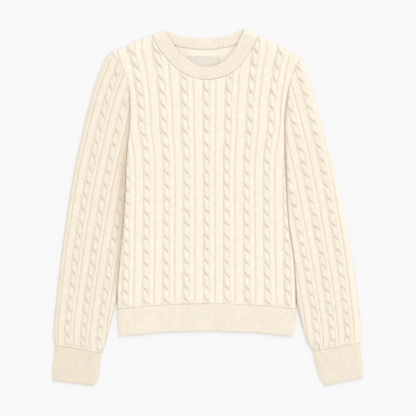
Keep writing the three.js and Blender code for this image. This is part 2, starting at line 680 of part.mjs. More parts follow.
function sleeve(name, side) {
  const shape = sleeveShape(side);
  const steps = Math.round((shape.top - shape.bottom) / LOBE_STEP / 2) * 2;
  const foldY = (step) => mix(shape.top, shape.bottom, step / steps);
  const onSleeveCable = (cables) => ({
    key: 20 + cables,
    cables,
    span: (width, line) => {
      const margin = FOLD_COLUMNS.at(-1) * foldShare(width);
      const y = line.fold[1];
      return clamp(shape.first(y) + shape.apart(y) * cables, margin, width - margin);
    },
  });
  const rows = (stride) =>
    Array.from({ length: Math.floor(steps / stride) + 1 }, (_, i) => {
      const step = i * stride;
      return { key: step, crown: 1 - (step % 2), line: sleeveLine(shape, foldY(step)) };
    });
  const cableCount = (span, y) => (span - shape.first(y)) / shape.apart(y);
  const outerColumns = [
    ...[1, 0.5].map((share) => belowAt(-100 * share, share)),
    ...BELOW_COLUMNS.map((d) => nearFold(-d, d, true)),
    ...FOLD_COLUMNS.map((d) => nearFold(d, d, false)),
    ...cableColumns(0, 2).map(onSleeveCable),
    ...FOLD_COLUMNS.toReversed().map((d) => nearSeam(100 - d, d)),
  ];
  const outer = grid(outerColumns, rows(1), (column, row) => {
    const { fold, edge } = row.line;
    const whole = Math.hypot(edge[0] - fold[0], edge[1] - fold[1]);
    const span = column.span(whole, row.line);
    const cables = cableCount(span, fold[1]);
    const rise = column.below ? 0 : cableRise(Math.max(cables, -0.5), row.crown);
    const [x, y, z] = foldedPoint(row.line, column, SLEEVE_TOP, 0, rise);
    const ends = row.key === 0 || row.key === steps ? 0 : 1;
    const inner = ease(span / LEAN_FADE) * ease((whole - span) / LEAN_FADE);
    const lean = column.below ? 0 : -side * cableLean(cables) * inner * ends;
    return [x, y + lean, z];
  });
  const innerColumns = [
    ...[1, 0.5].map((share) => belowAt(-100 * share, share)),
    nearFold(-4, 4, true),
    ...[0, 4].map((d) => nearFold(d, d, false)),
    ...[0, 1, 2].map(onSleeveCable),
    ...[5, 0].map((d) => nearSeam(100 - d, d)),
  ];
  const inner = grid(innerColumns, rows(2), (column, row) =>
    foldedPoint(row.line, column, SLEEVE_TOP, WALL, 0),
  );
  return cloth(name, "#f2e8d9", outer, inner, side > 0);
}

const CUFF_ROWS = [0, 0.35, 0.7, 0.95, 1];
const CUFF_INNER_ROWS = [0, 0.35, 0.7, 1];
const CUFF_INNER_STEPS = 8;
const CUFF_DROP = 0.6; // how much lower a cuff is at its end

function cuff(name, side, table) {
  const length = table.length - 1;
  const numbered = table.map((row, i) => ({ ...row, share: i / length }));
  const along = (output) => through(numbered, "share", output);
  const [outerX, outerY] = [along("outerX"), along("outerY")];
  const [innerX, innerY] = [along("innerX"), along("innerY")];
  const line = (share) => ({
    fold: [outerX(share), outerY(share)],
    edge: [innerX(share), innerY(share)],
    open: 0,
  });
  const rows = (list) => list.map((share) => ({ key: share, line: line(share) }));
  const ribs = 2 * Math.round(Math.abs(innerX(0.5) - outerX(0.5)) / CUFF_RIB);
  const ribColumn = (i, count) => ({
    key: (90 * i) / count,
    odd: i % 2,
    span: (width) => (width * i) / count,
  });
  const [wide, close] = BELOW_COLUMNS;
  const below = [1, 0.5].map((share) => belowAt(-100 * share, share));
  below.push(nearFold(-wide, wide, true));
  const topAt = (share) => mix(CUFF_TOP, CUFF_TOP - CUFF_DROP, share);
  const outerColumns = [...below, nearFold(-close, close, true)];
  outerColumns.push(...Array.from({ length: ribs + 1 }, (_, i) => ribColumn(i, ribs)));
  const outer = grid(outerColumns, rows(CUFF_ROWS), (column, row) => {
    const end = row.key < 1 ? 1 : EDGE_SHARE;
    return foldedPoint(row.line, column, topAt(row.key), 0, column.odd ? RIB_RISE * end : 0);
  });
  const innerColumns = [...below];
  for (let i = 0; i <= CUFF_INNER_STEPS; i += 1) {
    innerColumns.push(ribColumn(i, CUFF_INNER_STEPS));
  }
  const inner = grid(innerColumns, rows(CUFF_INNER_ROWS), (column, row) =>
    foldedPoint(row.line, column, topAt(row.key), WALL, 0),
  );
  return cloth(name, "#f0e5d5", outer, inner, side > 0);
}

// Neckband: a ribbed strip round the neck, folded at both shoulders and joined at the left one

// Points along one half of the band at a share of its length.
function bandHalf(table) {
  const middles = table.map((row) => [(row.seamX + row.freeX) / 2, (row.seamY + row.freeY) / 2]);
  const lengths = [0];
  for (let i = 1; i < middles.length; i += 1) {
    const step = Math.hypot(middles[i][0] - middles[i - 1][0], middles[i][1] - middles[i - 1][1]);
    lengths.push(lengths[i - 1] + step);
  }
  const rows = table.map((row, i) => ({ ...row, along: lengths[i] }));
  const curve = (output) => through(rows, "along", output);
  const [seamX, seamY] = [curve("seamX"), curve("seamY")];
  const [freeX, freeY] = [curve("freeX"), curve("freeY")];
  const point = (along, up) => [
    mix(seamX(along), freeX(along), up),
    mix(seamY(along), freeY(along), up),
  ];
  return { length: lengths.at(-1), point };
}

const BAND_SEAM_SHARE = 0.045; // share of its width by which the band stays off the body's edge
const BAND_TOP = BODY_TOP + 0.3;
const BAND_ROWS = [
  { key: 0, up: 1, rib: 0.6 },
  { key: 1, up: 0.9, rib: 1 },
  { key: 2, up: BAND_SEAM_SHARE, rib: 0.8 },
];

function neckband() {
  const front = bandHalf(NECK_FRONT);
  const back = bandHalf(NECK_BACK);
  const columns = [];
  const addHalf = (half, ribs, isFront) => {
    for (let i = isFront ? 0 : 1; i <= 2 * ribs; i += 1) {
      const share = isFront ? i / (2 * ribs) : 1 - i / (2 * ribs);
      columns.push({ key: columns.length, half, share, isFront, odd: i % 2 });
    }
  };
  addHalf(front, Math.round(front.length / NECK_RIB), true);
  addHalf(back, Math.round(back.length / NECK_RIB), false);
  // The strip is joined at the left fold, so its first and last columns stay apart there.
  const atJoin = (column) => {
    if (column.key === 0) return LAYER_GAP / 2;
    return column.key === columns.length - 1 ? -LAYER_GAP / 2 : 0;
  };
  const at = (inset) => (column, row) => {
    const { half, share, isFront } = column;
    const along = inset + (half.length - 2 * inset) * share;
    const fromFold = Math.min(share, 1 - share) * (half.length - 2 * inset);
    const [x, y] = half.point(along, row.up);
    const rib = column.odd ? RIB_RISE * row.rib : 0;
    const raised = isFront ? BAND_TOP - inset : inset && WALL;
    const roll = isFront ? NECK_ROLL - inset : UNDER_ROLL;
    const z = SEAM_Z + (raised - SEAM_Z) * rounded(fromFold, roll);
    // The ribs stand up on the face that shows: the outer one in front, the inner one behind.
    const ribbed = isFront ? !inset : Boolean(inset);
    return [x, y, z + (ribbed ? rib : 0) + atJoin(column)];
  };
  const [outer, inner] = [0, WALL].map((inset) => grid(columns, BAND_ROWS, at(inset)));
  return cloth("neckband", "#f7efe0", outer, inner);
}

// Label: a bare rectangle with rounded corners

function neckLabel() {
  const outline = new THREE.Shape();
  const { left, right, top, bottom, corner } = LABEL;
  outline.moveTo(left + corner, bottom);
  outline.lineTo(right - corner, bottom);
  outline.absarc(right - corner, bottom + corner, corner, -Math.PI / 2, 0);
  outline.lineTo(right, top - corner);
  outline.absarc(right - corner, top - corner, corner, 0, Math.PI / 2);
  outline.lineTo(left + corner, top);
  outline.absarc(left + corner, top - corner, corner, Math.PI / 2, Math.PI);
  outline.lineTo(left, bottom + corner);
  outline.absarc(left + corner, bottom + corner, corner, Math.PI, 1.5 * Math.PI);
  const settings = { depth: LABEL.thick, bevelEnabled: false, curveSegments: 2 };
  const geometry = new THREE.ExtrudeGeometry(outline, settings);
  const material = new THREE.MeshStandardMaterial({ color: "#e6e2d8", roughness: 0.7, metalness: 0 });
  const mesh = new THREE.Mesh(geometry, material);
  mesh.name = "neck_label";
  mesh.position.z = SEAM_Z;
  return mesh;
}

// The garment

const sweater = new THREE.Group();
sweater.add(
  frontPanel(),
  backPanel(),
  frontHemRib(),
  backHemRib(),
  sleeve("sleeve_left", -1),
  sleeve("sleeve_right", 1),
  cuff("cuff_left", -1, LEFT_CUFF),
  cuff("cuff_right", 1, RIGHT_CUFF),
  neckband(),
  neckLabel(),
);
// The origin is under the middle of the garment, on the surface.
const middle = new THREE.Box3().setFromObject(sweater).getCenter(new THREE.Vector3());
sweater.position.set(-middle.x, -middle.y, 0);

export default sweater;
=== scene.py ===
"""Cable knit sweater with a crew neck, laid flat on its back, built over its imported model.

Sizes are in millimetres of the garment's own drawing, whose +X runs to the right of a picture of
the front and +Y towards the neck. `to_metres` puts them in the frame, in metres.
"""

import bpy
import numpy as np
from bpy.props import FloatProperty, FloatVectorProperty, PointerProperty
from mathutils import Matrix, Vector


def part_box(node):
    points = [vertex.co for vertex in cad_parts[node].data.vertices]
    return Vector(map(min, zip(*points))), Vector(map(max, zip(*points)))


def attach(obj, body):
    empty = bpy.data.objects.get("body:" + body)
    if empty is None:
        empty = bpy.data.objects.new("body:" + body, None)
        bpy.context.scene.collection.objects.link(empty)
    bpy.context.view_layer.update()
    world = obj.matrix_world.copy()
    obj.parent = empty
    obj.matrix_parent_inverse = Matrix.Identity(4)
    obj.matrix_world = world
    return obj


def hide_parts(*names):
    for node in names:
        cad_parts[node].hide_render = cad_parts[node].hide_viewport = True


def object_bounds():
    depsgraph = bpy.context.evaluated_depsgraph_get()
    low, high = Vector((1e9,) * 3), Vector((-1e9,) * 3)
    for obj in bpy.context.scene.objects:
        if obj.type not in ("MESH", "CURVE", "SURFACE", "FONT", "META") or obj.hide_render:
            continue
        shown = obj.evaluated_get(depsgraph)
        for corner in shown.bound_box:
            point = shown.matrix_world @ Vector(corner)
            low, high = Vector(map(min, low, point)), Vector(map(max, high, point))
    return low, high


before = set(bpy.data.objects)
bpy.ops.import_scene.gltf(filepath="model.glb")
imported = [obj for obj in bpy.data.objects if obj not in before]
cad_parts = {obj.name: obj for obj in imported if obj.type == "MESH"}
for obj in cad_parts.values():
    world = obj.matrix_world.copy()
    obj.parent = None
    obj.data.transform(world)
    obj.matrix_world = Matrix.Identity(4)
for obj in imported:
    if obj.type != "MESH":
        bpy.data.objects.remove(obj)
CAD_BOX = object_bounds()

bl_info = {
    "name": "Cable knit sweater",
    "version": (1, 0, 0),
    "blender": (4, 5, 0),
    "location": "View3D > Sidebar > Sweater",
    "description": "Builds a cable knit sweater laid flat, with its stage",
    "category": "Add Mesh",
}

MM = 0.001

# Sides of the garment as the picture shows them
LEFT, RIGHT = -1, 1

# Thickness of plain cloth, gaps along the hem and beside the sleeves, and between two layers
WALL = 2.4
SEAM_GAP = 0.08
ARM_GAP = 0.08
LAYER_GAP = 0.3

# Heights over the surface: side seams and folds, hem and cuff at their ends, sleeve seam, neckband
SEAM_Z = WALL + LAYER_GAP
HEM_TOP = 6.6
CUFF_TOP = 6.2
ARM_SEAM_Z = 5.6
BAND_TOP = 8.9

# How far in from an edge cloth rounds over: below a fold, at the neckband's folds, the shoulder
UNDER_ROLL = 5.0
NECK_ROLL = 14.0
SHOULDER_ROLL = 15.0

# Share of its inset that an inner face keeps at an open seam, and the inset of the back in mm
OPEN_INSET = 0.6
BACK_INSET = 1.2

# Armpit: the side seam rolls over below it, and the armhole seam lies open above it
ARMPIT_LOW = 118.0
ARMPIT_HIGH = 150.0

MIDDLE_X = -2.5
SHOULDER_SLOPE = 0.5

# Hem: height of its seam and of its lower edge in the middle, how far each bows up, and over what
HEM_SEAM = (-182.6, 10.6, 170.0)
HEM_EDGE = (-235.8, 10.4, 166.0)

# How a knitted row falls from the middle over one cable's distance, at the hem and on the chest
HEM_BOW = 10.6 / 4.4**2
CHEST_BOW = 0.7
BOW_REACH = 380.0

# Distance between two cables of the front at heights on it, as (y, apart)
CABLE_SPACING = [
    (299, 47.5), (270, 44.8), (242, 43.3), (193, 41.2), (150, 40.6), (90, 38.0),
    (-43, 38.0), (-182, 38.6),
]

# Edge of the body from each shoulder tip down the armhole and the side to the hem, as (y, x)
LEFT_EDGE = [
    (295.3, -184.6), (269.6, -164.6), (229.7, -150.4), (190, -147.8), (156.9, -148.6),
    (135.7, -151), (77.7, -155.6), (19.8, -157.6), (-46.7, -162.4), (-107.5, -168),
    (-156.9, -172.2), (-191, -172.9), (-221.5, -172), (-246.2, -169.6),
]
RIGHT_EDGE = [
    (283.9, 178.6), (269.6, 168.3), (244, 158), (217.4, 151.3), (185, 147), (156.6, 145.4),
    (128.1, 145.6), (74.9, 147.2), (-29.6, 153.4), (-79, 160.6), (-117, 164.6),
    (-181.6, 168), (-206.3, 167.9), (-246.2, 161.6),
]

# Shoulder line on each side, from its tip to the neckband, as (x, y)
LEFT_SHOULDER = [(-184.6, 295.3), (-126.4, 321.4), (-105.9, 327.8)]
RIGHT_SHOULDER = [(178.6, 283.9), (149.6, 299.1), (104.4, 321.9), (96.4, 325.5)]

# Neckband from its left fold to its right one, as (seam x, seam y, free edge x, free edge y)
NECK_FRONT = np.array([
    (-105.9, 327.8, -81.8, 337.4), (-98.7, 309.7, -74.2, 321.9), (-87.1, 292.4, -65.3, 308.6),
    (-70, 272.8, -52, 293.4), (-50.3, 256.3, -36.8, 280.1), (-28.4, 246.6, -20.6, 270.6),
    (-5.4, 242.1, -4.5, 266.8), (16.4, 244.2, 12.6, 268.7), (39.4, 251.6, 27.8, 276.3),
    (58.8, 266, 40.2, 287.7), (75.9, 287.7, 51.6, 302.9), (87.9, 307.8, 60.7, 320),
    (96.4, 325.5, 68.5, 338.8),
])
NECK_BACK = np.array([
    (-105.9, 327.8, -81.8, 337.4), (-81.4, 313.3, -68.1, 332.3), (-51, 304.8, -47.2, 326),
    (-5.4, 300, -6.4, 322.6), (38.3, 305.1, 34.5, 326.4), (70.6, 314.3, 55.4, 334.6),
    (96.4, 325.5, 68.5, 338.8),
])

# Outer fold of each sleeve from the shoulder tip to the cuff, as (y, x)
SLEEVE_FOLD = {
    LEFT: [
        (295.3, -184.6), (287.7, -193.2), (265, -203.8), (219, -220), (158.5, -235.3),
        (97.7, -248.8), (37, -260), (-54, -273.9), (-145.5, -285.2), (-236.7, -294),
        (-261.4, -291.9),
    ],
    RIGHT: [
        (283.9, 179.2), (265, 187), (234.5, 196.6), (174, 214), (82.5, 237.9), (-8.7, 258.2),
        (-100, 275.4), (-191, 288.1), (-236.7, 293.2), (-257, 291.2),
    ],
}
# Inner edge of each sleeve where it leaves the body, as (y, x)
SLEEVE_FREE = {
    LEFT: [(-180, -174.2), (-206, -181.4), (-237, -188.8), (-267, -197.4), (-278, -203.4)],
    RIGHT: [(-184, 169.2), (-206, 174.3), (-237, 182.7), (-261, 191.4), (-273, 199.6)],
}
# Each cuff from its seam to its end, as (share, outer x, outer y, inner x, inner y)
CUFF_EDGES = {
    LEFT: [
        (0, -291.8, -261.5, -202.6, -276.7), (0.25, -293.1, -284, -204.6, -294),
        (0.5, -296, -306, -205.6, -311), (0.75, -296.4, -318, -209, -327),
        (1, -295.2, -329.6, -217.4, -339.4),
    ],
    RIGHT: [
        (0, 291.2, -257.1, 199.4, -272.7), (0.25, 293.4, -282, 204.6, -296),
        (0.5, 295.4, -300, 208.6, -313), (0.75, 296.6, -314, 214.4, -328),
        (1, 295.8, -324.6, 222.6, -340),
    ],
}
# First shown cable of each sleeve in from its fold, and the next from it, as (y, first, apart)
SLEEVE_CABLE = {
    LEFT: [(280, 32, 34), (30, 29, 34), (-250, 26.6, 30.6)],
    RIGHT: [(280, 16, 34.5), (120, 19.5, 34.5), (-20, 25, 33), (-250, 28.6, 29.4)],
}
# Slope of a sleeve's lines from its fold down towards the body, as (y, slope)
SLEEVE_SLOPE = [(280, 0.28), (-260, 0.17)]
# Lobes counted at heights on each sleeve, as (y, count)
SLEEVE_LOBES = {
    LEFT: [(300, 13.5), (-43.5, 0), (-270, -9.6)],
    RIGHT: [(290, 13.0), (-30.5, 0), (-270, -10.1)],
}
# How a sleeve's rows fall from its fold: by the distance, and by its square
SLEEVE_ROW_FALL = {LEFT: (0.36, -0.00187), RIGHT: (0.0575, 0.00124)}
# How wide the painted shadow of the body's edge on each sleeve is, as (y, width)
SLEEVE_SHADOW = {
    LEFT: [(240, 0.3), (200, 5), (120, 11), (75, 19), (0, 19), (-80, 12), (-150, 7), (-187, 0.3)],
    RIGHT: [(245, 0.3), (205, 6), (80, 7), (0, 3), (-150, 3), (-187, 0.3)],
}

# Bare label inside the back neck
LABEL = {"left": -42.8, "right": 22.5, "top": 287.5, "bottom": 254.0, "corner": 4.0}
LABEL_THICK = 0.6
TAPE_THREAD = 0.9


def drawing_shift():
    """Distance from the drawing to the frame, by the label, whose place is known in both."""
    label_low, label_high = (np.array(corner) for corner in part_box("neck_label"))
    middle = (label_low + label_high) / 2 / MM
    return np.array([
        middle[0] - (LABEL["left"] + LABEL["right"]) / 2,
        middle[1] - (LABEL["top"] + LABEL["bottom"]) / 2,
        CAD_BOX[0][2] / MM,
    ])


SHIFT = drawing_shift()


def to_metres(points):
    """Points of the drawing, in millimetres, put in the frame."""
    return (np.asarray(points, dtype=float) + SHIFT) * MM


# Small sums

def mix(a, b, t):
    """The value at a share `t` of the way from a to b."""
    return a + (b - a) * t


def ease(t):
    """A smooth step: 3t^2 - 2t^3 between 0 and 1, level outside."""
    t = np.clip(t, 0, 1)
    return t * t * (3 - 2 * t)


def between(value, start, rise, end, fall):
    """1 between two places and 0 outside them, with a smooth step of its own length at each."""
    return ease((value - start) / rise) * ease((end - value) / fall)


def cloth_size(name):
    """One of the cloth's settings, in millimetres."""
    return getattr(bpy.context.scene.sweater_cloth, name) / MM


def rounded(distance, roll):
    """Height of a quarter circle's arc, from 0 at the edge to 1 at `roll` in from it."""
    return np.sqrt(np.maximum(1 - (1 - np.clip(distance / roll, 0, 1)) ** 2, 0))


def bell(distance, width):
    """A bell curve, 1 at distance 0 and about a third at `width`."""
    return np.exp(-((distance / width) ** 2))


def through(table, column_in=0, column_out=1):
    """A smooth curve through one column of a table against another, level past both ends.

    Between two rows it is the cubic whose slope at each row is that of the line between the rows
    on either side of it.
    """
    rows = np.array(table, dtype=float)
    rows = rows[np.argsort(rows[:, column_in])]
    xs, ys = rows[:, column_in], rows[:, column_out]
    before = np.maximum(np.arange(len(xs)) - 1, 0)
    after = np.minimum(np.arange(len(xs)) + 1, len(xs) - 1)
    slopes = (ys[after] - ys[before]) / (xs[after] - xs[before])

    def curve(value):
        at = np.clip(value, xs[0], xs[-1])
        k = np.clip(np.searchsorted(xs, at), 1, len(xs) - 1)
        span = xs[k] - xs[k - 1]
        t = (at - xs[k - 1]) / span
        bend = slopes[k - 1] * span * t * (1 - t) ** 2 - slopes[k] * span * t * t * (1 - t)
        return ys[k - 1] + (ys[k] - ys[k - 1]) * t * t * (3 - 2 * t) + bend

    return curve


def settle(start, step, turns=30):
    """Where `step(value)` gives back its own value, by doing it again and again."""
    value = start
    for _ in range(turns):
        value = step(value)
    return value


NOISE_WAVES = 7
NOISE_LENGTHS = (0.7, 1.6)
NOISE_REACH = 1.6


def soft_noise(x, y, size, seed):
    """Smooth uneven ground, about -1 to 1: the sum of a few sine waves in seeded directions."""
    rng = np.random.default_rng(seed)
    total = np.zeros(np.broadcast(x, y).shape)
    for _ in range(NOISE_WAVES):
        angle, phase = rng.uniform(0, 2 * np.pi, 2)
        length = size * rng.uniform(*NOISE_LENGTHS)
        total += np.sin(2 * np.pi * (x * np.cos(angle) + y * np.sin(angle)) / length + phase)
    return total / NOISE_WAVES * NOISE_REACH


# Meshes

def quads(rows, columns, first=0):
    """Corner numbers of a grid's four-sided faces, turned to face up where +row runs down -Y."""
    corner = first + np.arange(rows - 1)[:, None] * columns + np.arange(columns - 1)[None, :]
    corner = corner.ravel()
    return np.stack([corner, corner + columns, corner + columns + 1, corner + 1], axis=1)


def rim(fine, coarse, stride):
    """Triangles between two borders that run alongside, `stride` fine steps to one coarse step."""
    step = np.arange(len(fine) - 1)
    near = (step + stride // 2) // stride
    along_fine = np.stack([fine[step], fine[step + 1], coarse[near]], axis=1)
    whole = np.arange(len(coarse) - 1)
    split = whole * stride + stride - stride // 2
    along_coarse = np.stack([coarse[whole], fine[split], coarse[whole + 1]], axis=1)
    return np.concatenate([along_fine, along_coarse])


def stacked(*parts):
    """Points or counts of a grid from their separate coordinates, each spread to the same size."""
    return np.stack(np.broadcast_arrays(*parts), axis=-1)


class Cloth:
    """A closed shell of cloth between an outer face and a coarser inner one.

    Both faces are arrays of points, a row at a time, from the same two parameters. The inner face
    keeps one row and column to `stride` of the outer face's, and their borders are zipped together.
    """

    def __init__(self, outer, inner, stride, wales, tone):
        inner = inner[::stride, ::stride]
        rows, columns = outer.shape[:2]
        inner_rows, inner_columns = inner.shape[:2]
        first = rows * columns
        numbers = np.arange(first).reshape(rows, columns)
        inside = first + np.arange(inner_rows * inner_columns).reshape(inner_rows, inner_columns)
        self.points = np.concatenate([outer.reshape(-1, 3), inner.reshape(-1, 3)])
        self.quads = np.concatenate([
            quads(rows, columns), quads(inner_rows, inner_columns, first)[:, ::-1]
        ])
        borders = [
            (0, slice(None, None, -1)), (-1, slice(None)),
            (slice(None), 0), (slice(None, None, -1), -1),
        ]
        self.triangles = np.concatenate([
            rim(numbers[border], inside[border], stride)[:, ::-1] for border in borders
        ])
        self.wales = np.concatenate([
            wales.reshape(-1, 2), wales[::stride, ::stride].reshape(-1, 2)
        ])
        # Painted shade of each point, which the material mixes in as a darker, warmer colour
        self.tone = np.concatenate([tone.ravel(), tone[::stride, ::stride].ravel()])

    def mirrored(self):
        """The same shell with its faces turned round, for a grid that runs the other way."""
        self.quads = self.quads[:, ::-1]
        self.triangles = self.triangles[:, ::-1]
        return self


def add_mesh(name, cloth, material):
    """A mesh object of a shell, at the origin, with its knitting as a UV map and its painted shade
    as an attribute.
    """
    mesh = bpy.data.meshes.new(name)
    points = to_metres(cloth.points)
    mesh.vertices.add(len(points))
    mesh.vertices.foreach_set("co", points.astype(np.float32).ravel())
    corners = np.concatenate([cloth.quads.ravel(), cloth.triangles.ravel()]).astype(np.int32)
    sizes = np.concatenate([
        np.full(len(cloth.quads), 4), np.full(len(cloth.triangles), 3)
    ])
    starts = np.concatenate([[0], np.cumsum(sizes)[:-1]]).astype(np.int32)
    mesh.loops.add(len(corners))
    mesh.loops.foreach_set("vertex_index", corners)
    mesh.polygons.add(len(sizes))
    mesh.polygons.foreach_set("loop_start", starts)
    mesh.polygons.foreach_set("use_smooth", sizes == 4)
    mesh.update(calc_edges=True)
    uv = mesh.uv_layers.new(name="knitting")
    uv.uv.foreach_set("vector", cloth.wales[corners].astype(np.float32).ravel())
    hollow_shade = mesh.attributes.new("hollow_shade", "FLOAT", "POINT")
    hollow_shade.data.foreach_set("value", cloth.tone.astype(np.float32))
    mesh.materials.append(material)
    if mesh.validate():
        raise RuntimeError(f"{name} has faces that don't close")
    piece = bpy.data.objects.new(name, mesh)
    bpy.context.scene.collection.objects.link(piece)
    return piece


def place_piece(name, cloth, finish):
    """Adds a piece in its node's place, with its finish and its cut."""
    material = bpy.data.materials.get(finish)
    if material is None:
        raise RuntimeError(f"make the finishes before the pieces: {finish} is missing")
    piece = add_mesh(f"{name}_knit", cloth, material)
    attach(piece, "root")
    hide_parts(name)
    return piece


# Knitting

# A cable's places across it, in cable spacings from the deep middle of its creases
LEFT_LINE = -0.165
RIGHT_LINE = 0.415
GROUND = 0.7
ROPE_RISE = 2.1
MARGIN_RISE = 0.75
BAND_RISE = 0.4
GUTTER_DROP = 0.6
WALE = 3.9
COURSE = 3.1
WALES_IN_LOBE = 4
PITCH = 25.0

# A crease's fall by the distance and by its cube, the most that it falls, and its width
CREASE_SLOPE = 1.05
CREASE_BEND = 0.0194
FALL_LIMIT = 60.0
CREASE_WIDTH = 1.2

# Length of a stitch beside the band, and where the wales of a strand end
STITCH_LENGTH = 4.6
STRAND_EDGE = 6


def cable_knit(cables, level, apart, lobes):
    """Relief of rope cables with bands of plain knit between them.

    `cables` counts cable spacings to the right from a cable's creases, `level` is the height of the
    knitted row, `apart` the spacing and `lobes` turns a level into a count of lobes. A crease
    falls to the right by a straight part and a cubic one, so that it is steep at both ends. The
    cloth between two creases is a strand, rounded towards them by bell curves: a narrow one that
    is deepest in the middle, and broad ones that run on to the right as a soft valley, wider on
    the side where the strand comes out from under its neighbour.
    The strands stand in a dome that sinks to a margin, with a fine groove on each side of the two,
    and beyond it comes the band with its wales as low waves.
    Gives the relief, how much painted shade each point takes, deepest in the creases and along the
    grooves, and the wale and course counts.
    """
    across = cables - np.floor(cables - LEFT_LINE)
    d = across * apart
    left, right = LEFT_LINE * apart, RIGHT_LINE * apart
    fall = CREASE_SLOPE * d + CREASE_BEND * d**3
    steep = CREASE_SLOPE + 3 * CREASE_BEND * d**2
    lobe = lobes(level + np.clip(fall, -FALL_LIMIT, FALL_LIMIT))
    straight_up = PITCH / np.sqrt(1 + steep**2)
    to_below = (lobe - np.floor(lobe)) * straight_up
    to_above = straight_up - to_below
    to_crease = np.minimum(to_below, to_above)
    deep = between(d, left, 4.5, 5, 3.5)
    soft = between(d, left, 3, 11.5, 6)
    valley = 0.3 * bell(to_below, 2.0) + 0.42 * bell(to_above, 3.4)
    crease = 0.5 * deep * bell(to_crease, CREASE_WIDTH) + soft * valley
    dome = np.sqrt(np.maximum(1 - ((d - 2.5) / 9.6) ** 2, 0))
    in_rope = between(d, left + 0.6, 4.4, right - 0.3, 2)
    rope = in_rope * (MARGIN_RISE + (ROPE_RISE - MARGIN_RISE) * dome) * (1 - crease)

    wales = (d - right) / WALE
    plateau = between(d, right + 0.3, 1.6, left + apart - 0.3, 1.4)
    wave = 0.12 * np.cos(2 * np.pi * wales)
    inside = d < right
    gutter = GUTTER_DROP * bell(d - right, 1.0)
    relief = GROUND + np.where(inside, rope, plateau * (BAND_RISE + wave)) - gutter

    # Painted shade along the fine groove at each cable's left, in its gutter, and in the creases of
    # its lobes
    stitch = 0.75 + 0.25 * np.sin(2 * np.pi * level / STITCH_LENGTH)
    from_left = np.minimum(d - left, left + apart - d)
    lines = 0.2 * bell(from_left, 1.0) + 0.95 * bell(d - right, 1.1) * stitch
    hollow_shade = np.clip(deep * bell(to_crease, 1.5) + lines, 0, 1)
    in_strand = d < STRAND_EDGE
    count = np.where(in_strand, WALES_IN_LOBE * lobe, wales)
    length = np.where(in_strand, d * 1.6, level) / COURSE
    return relief, hollow_shade, stacked(count, length)


def rib_knit(count):
    """Relief of one-and-one rib, 0 in the grooves and 1 on the ribs: a flattened cosine."""
    turn = np.cos(2 * np.pi * count)
    return 0.5 + 0.5 * np.sign(turn) * np.abs(turn) ** 0.7


# Neckband's two halves, whose lower edge is also the edge of the body

def band_half(table):
    """A half of the band as a function of a share of its length and of its height."""
    middles = (table[:, :2] + table[:, 2:]) / 2
    steps = np.hypot(*np.diff(middles, axis=0).T)
    along = np.concatenate([[0], np.cumsum(steps)])
    rows = np.column_stack([along, table])
    seam_x, seam_y, free_x, free_y = (through(rows, 0, k) for k in (1, 2, 3, 4))

    def point(share, up, inset):
        at = inset + (along[-1] - 2 * inset) * share
        from_fold = np.minimum(share, 1 - share) * (along[-1] - 2 * inset)
        return mix(seam_x(at), free_x(at), up), mix(seam_y(at), free_y(at), up), from_fold

    return point


def seam_of(half):
    """Height of a half's lower edge at a place across, straight between many points of it."""
    x, y, _ = half(np.linspace(0, 1, 600), 0, 0)
    return lambda value: np.interp(value, x, y)


front_band, back_band = band_half(NECK_FRONT), band_half(NECK_BACK)
neck_front, neck_back = seam_of(front_band), seam_of(back_band)

# Body

# How high body and sleeve meet along the side and over what, and how much more at the shoulder
SIDE_SEAM_SHARE = 1.5
SIDE_SEAM_REACH = 30
SHOULDER_SEAM_SHARE = 0.85
SHOULDER_SEAM_FROM = 175
SHOULDER_SEAM_REACH = 55

body_left = through(LEFT_EDGE)
body_right = through(RIGHT_EDGE)
cable_spacing = through(CABLE_SPACING)
left_shoulder = through(LEFT_SHOULDER)
right_shoulder = through(RIGHT_SHOULDER)
NECK_LEFT_X = NECK_FRONT[0, 0]
NECK_RIGHT_X = NECK_FRONT[-1, 0]
# Lobes counted at heights on the front, as (y, count)
front_lobes = through([(330, 4.24), (220.7, 0), (67.4, -6), (-30.9, -10), (-182, -16.27)])


def shoulder_line(x):
    """Shoulder line, carried on upwards over the neck at a steady slope."""
    over_left = np.maximum(x - NECK_LEFT_X, 0) * SHOULDER_SLOPE
    over_right = np.maximum(NECK_RIGHT_X - x, 0) * SHOULDER_SLOPE
    return np.where(x < MIDDLE_X, left_shoulder(x) + over_left, right_shoulder(x) + over_right)


def upper_edge(x, neck_seam):
    """Upper edge of a panel: the shoulders, and the neck's seam between them."""
    at_neck = (x > NECK_LEFT_X) & (x < NECK_RIGHT_X)
    shoulder = shoulder_line(x)
    return np.where(at_neck, np.minimum(neck_seam(x), shoulder), shoulder)


def armhole(y):
    """1 along the open armhole seam, 0 along the rolled side below the armpit."""
    return ease((y - ARMPIT_LOW) / (ARMPIT_HIGH - ARMPIT_LOW))


def beside(y):
    """How high body and sleeve meet: 0 at the hem, 1 at the armpit, more at side and shoulder."""
    along_side = SIDE_SEAM_SHARE * ease((y - HEM_SEAM[0]) / SIDE_SEAM_REACH)
    at_shoulder = SHOULDER_SEAM_SHARE * ease((y - SHOULDER_SEAM_FROM) / SHOULDER_SEAM_REACH)
    return mix(along_side, 1, armhole(y)) + at_shoulder


def hem_line(line, x):
    """Height of the hem's seam or of its lower edge at a place across."""
    y, bow, half_width = line
    return y - bow * ((x - MIDDLE_X) / half_width) ** 2


def row_bow(level):
    """How much a knitted row falls from the middle for one cable's distance, at its height."""
    return mix(HEM_BOW, CHEST_BOW, np.clip((level - HEM_SEAM[0]) / BOW_REACH, 0, 1))


def side_rise(in_from_edge, y, top, inset):
    """Share of the full height at a side: a round edge that starts at the seam's height."""
    full = top - inset - SEAM_Z
    at_seam = beside(y) * max(ARM_SEAM_Z - inset - SEAM_Z, 0) / full
    from_edge = in_from_edge - inset * mix(1, OPEN_INSET, armhole(y))
    roll = cloth_size("side_roll") - inset
    return at_seam + (1 - at_seam) * rounded(from_edge, roll)


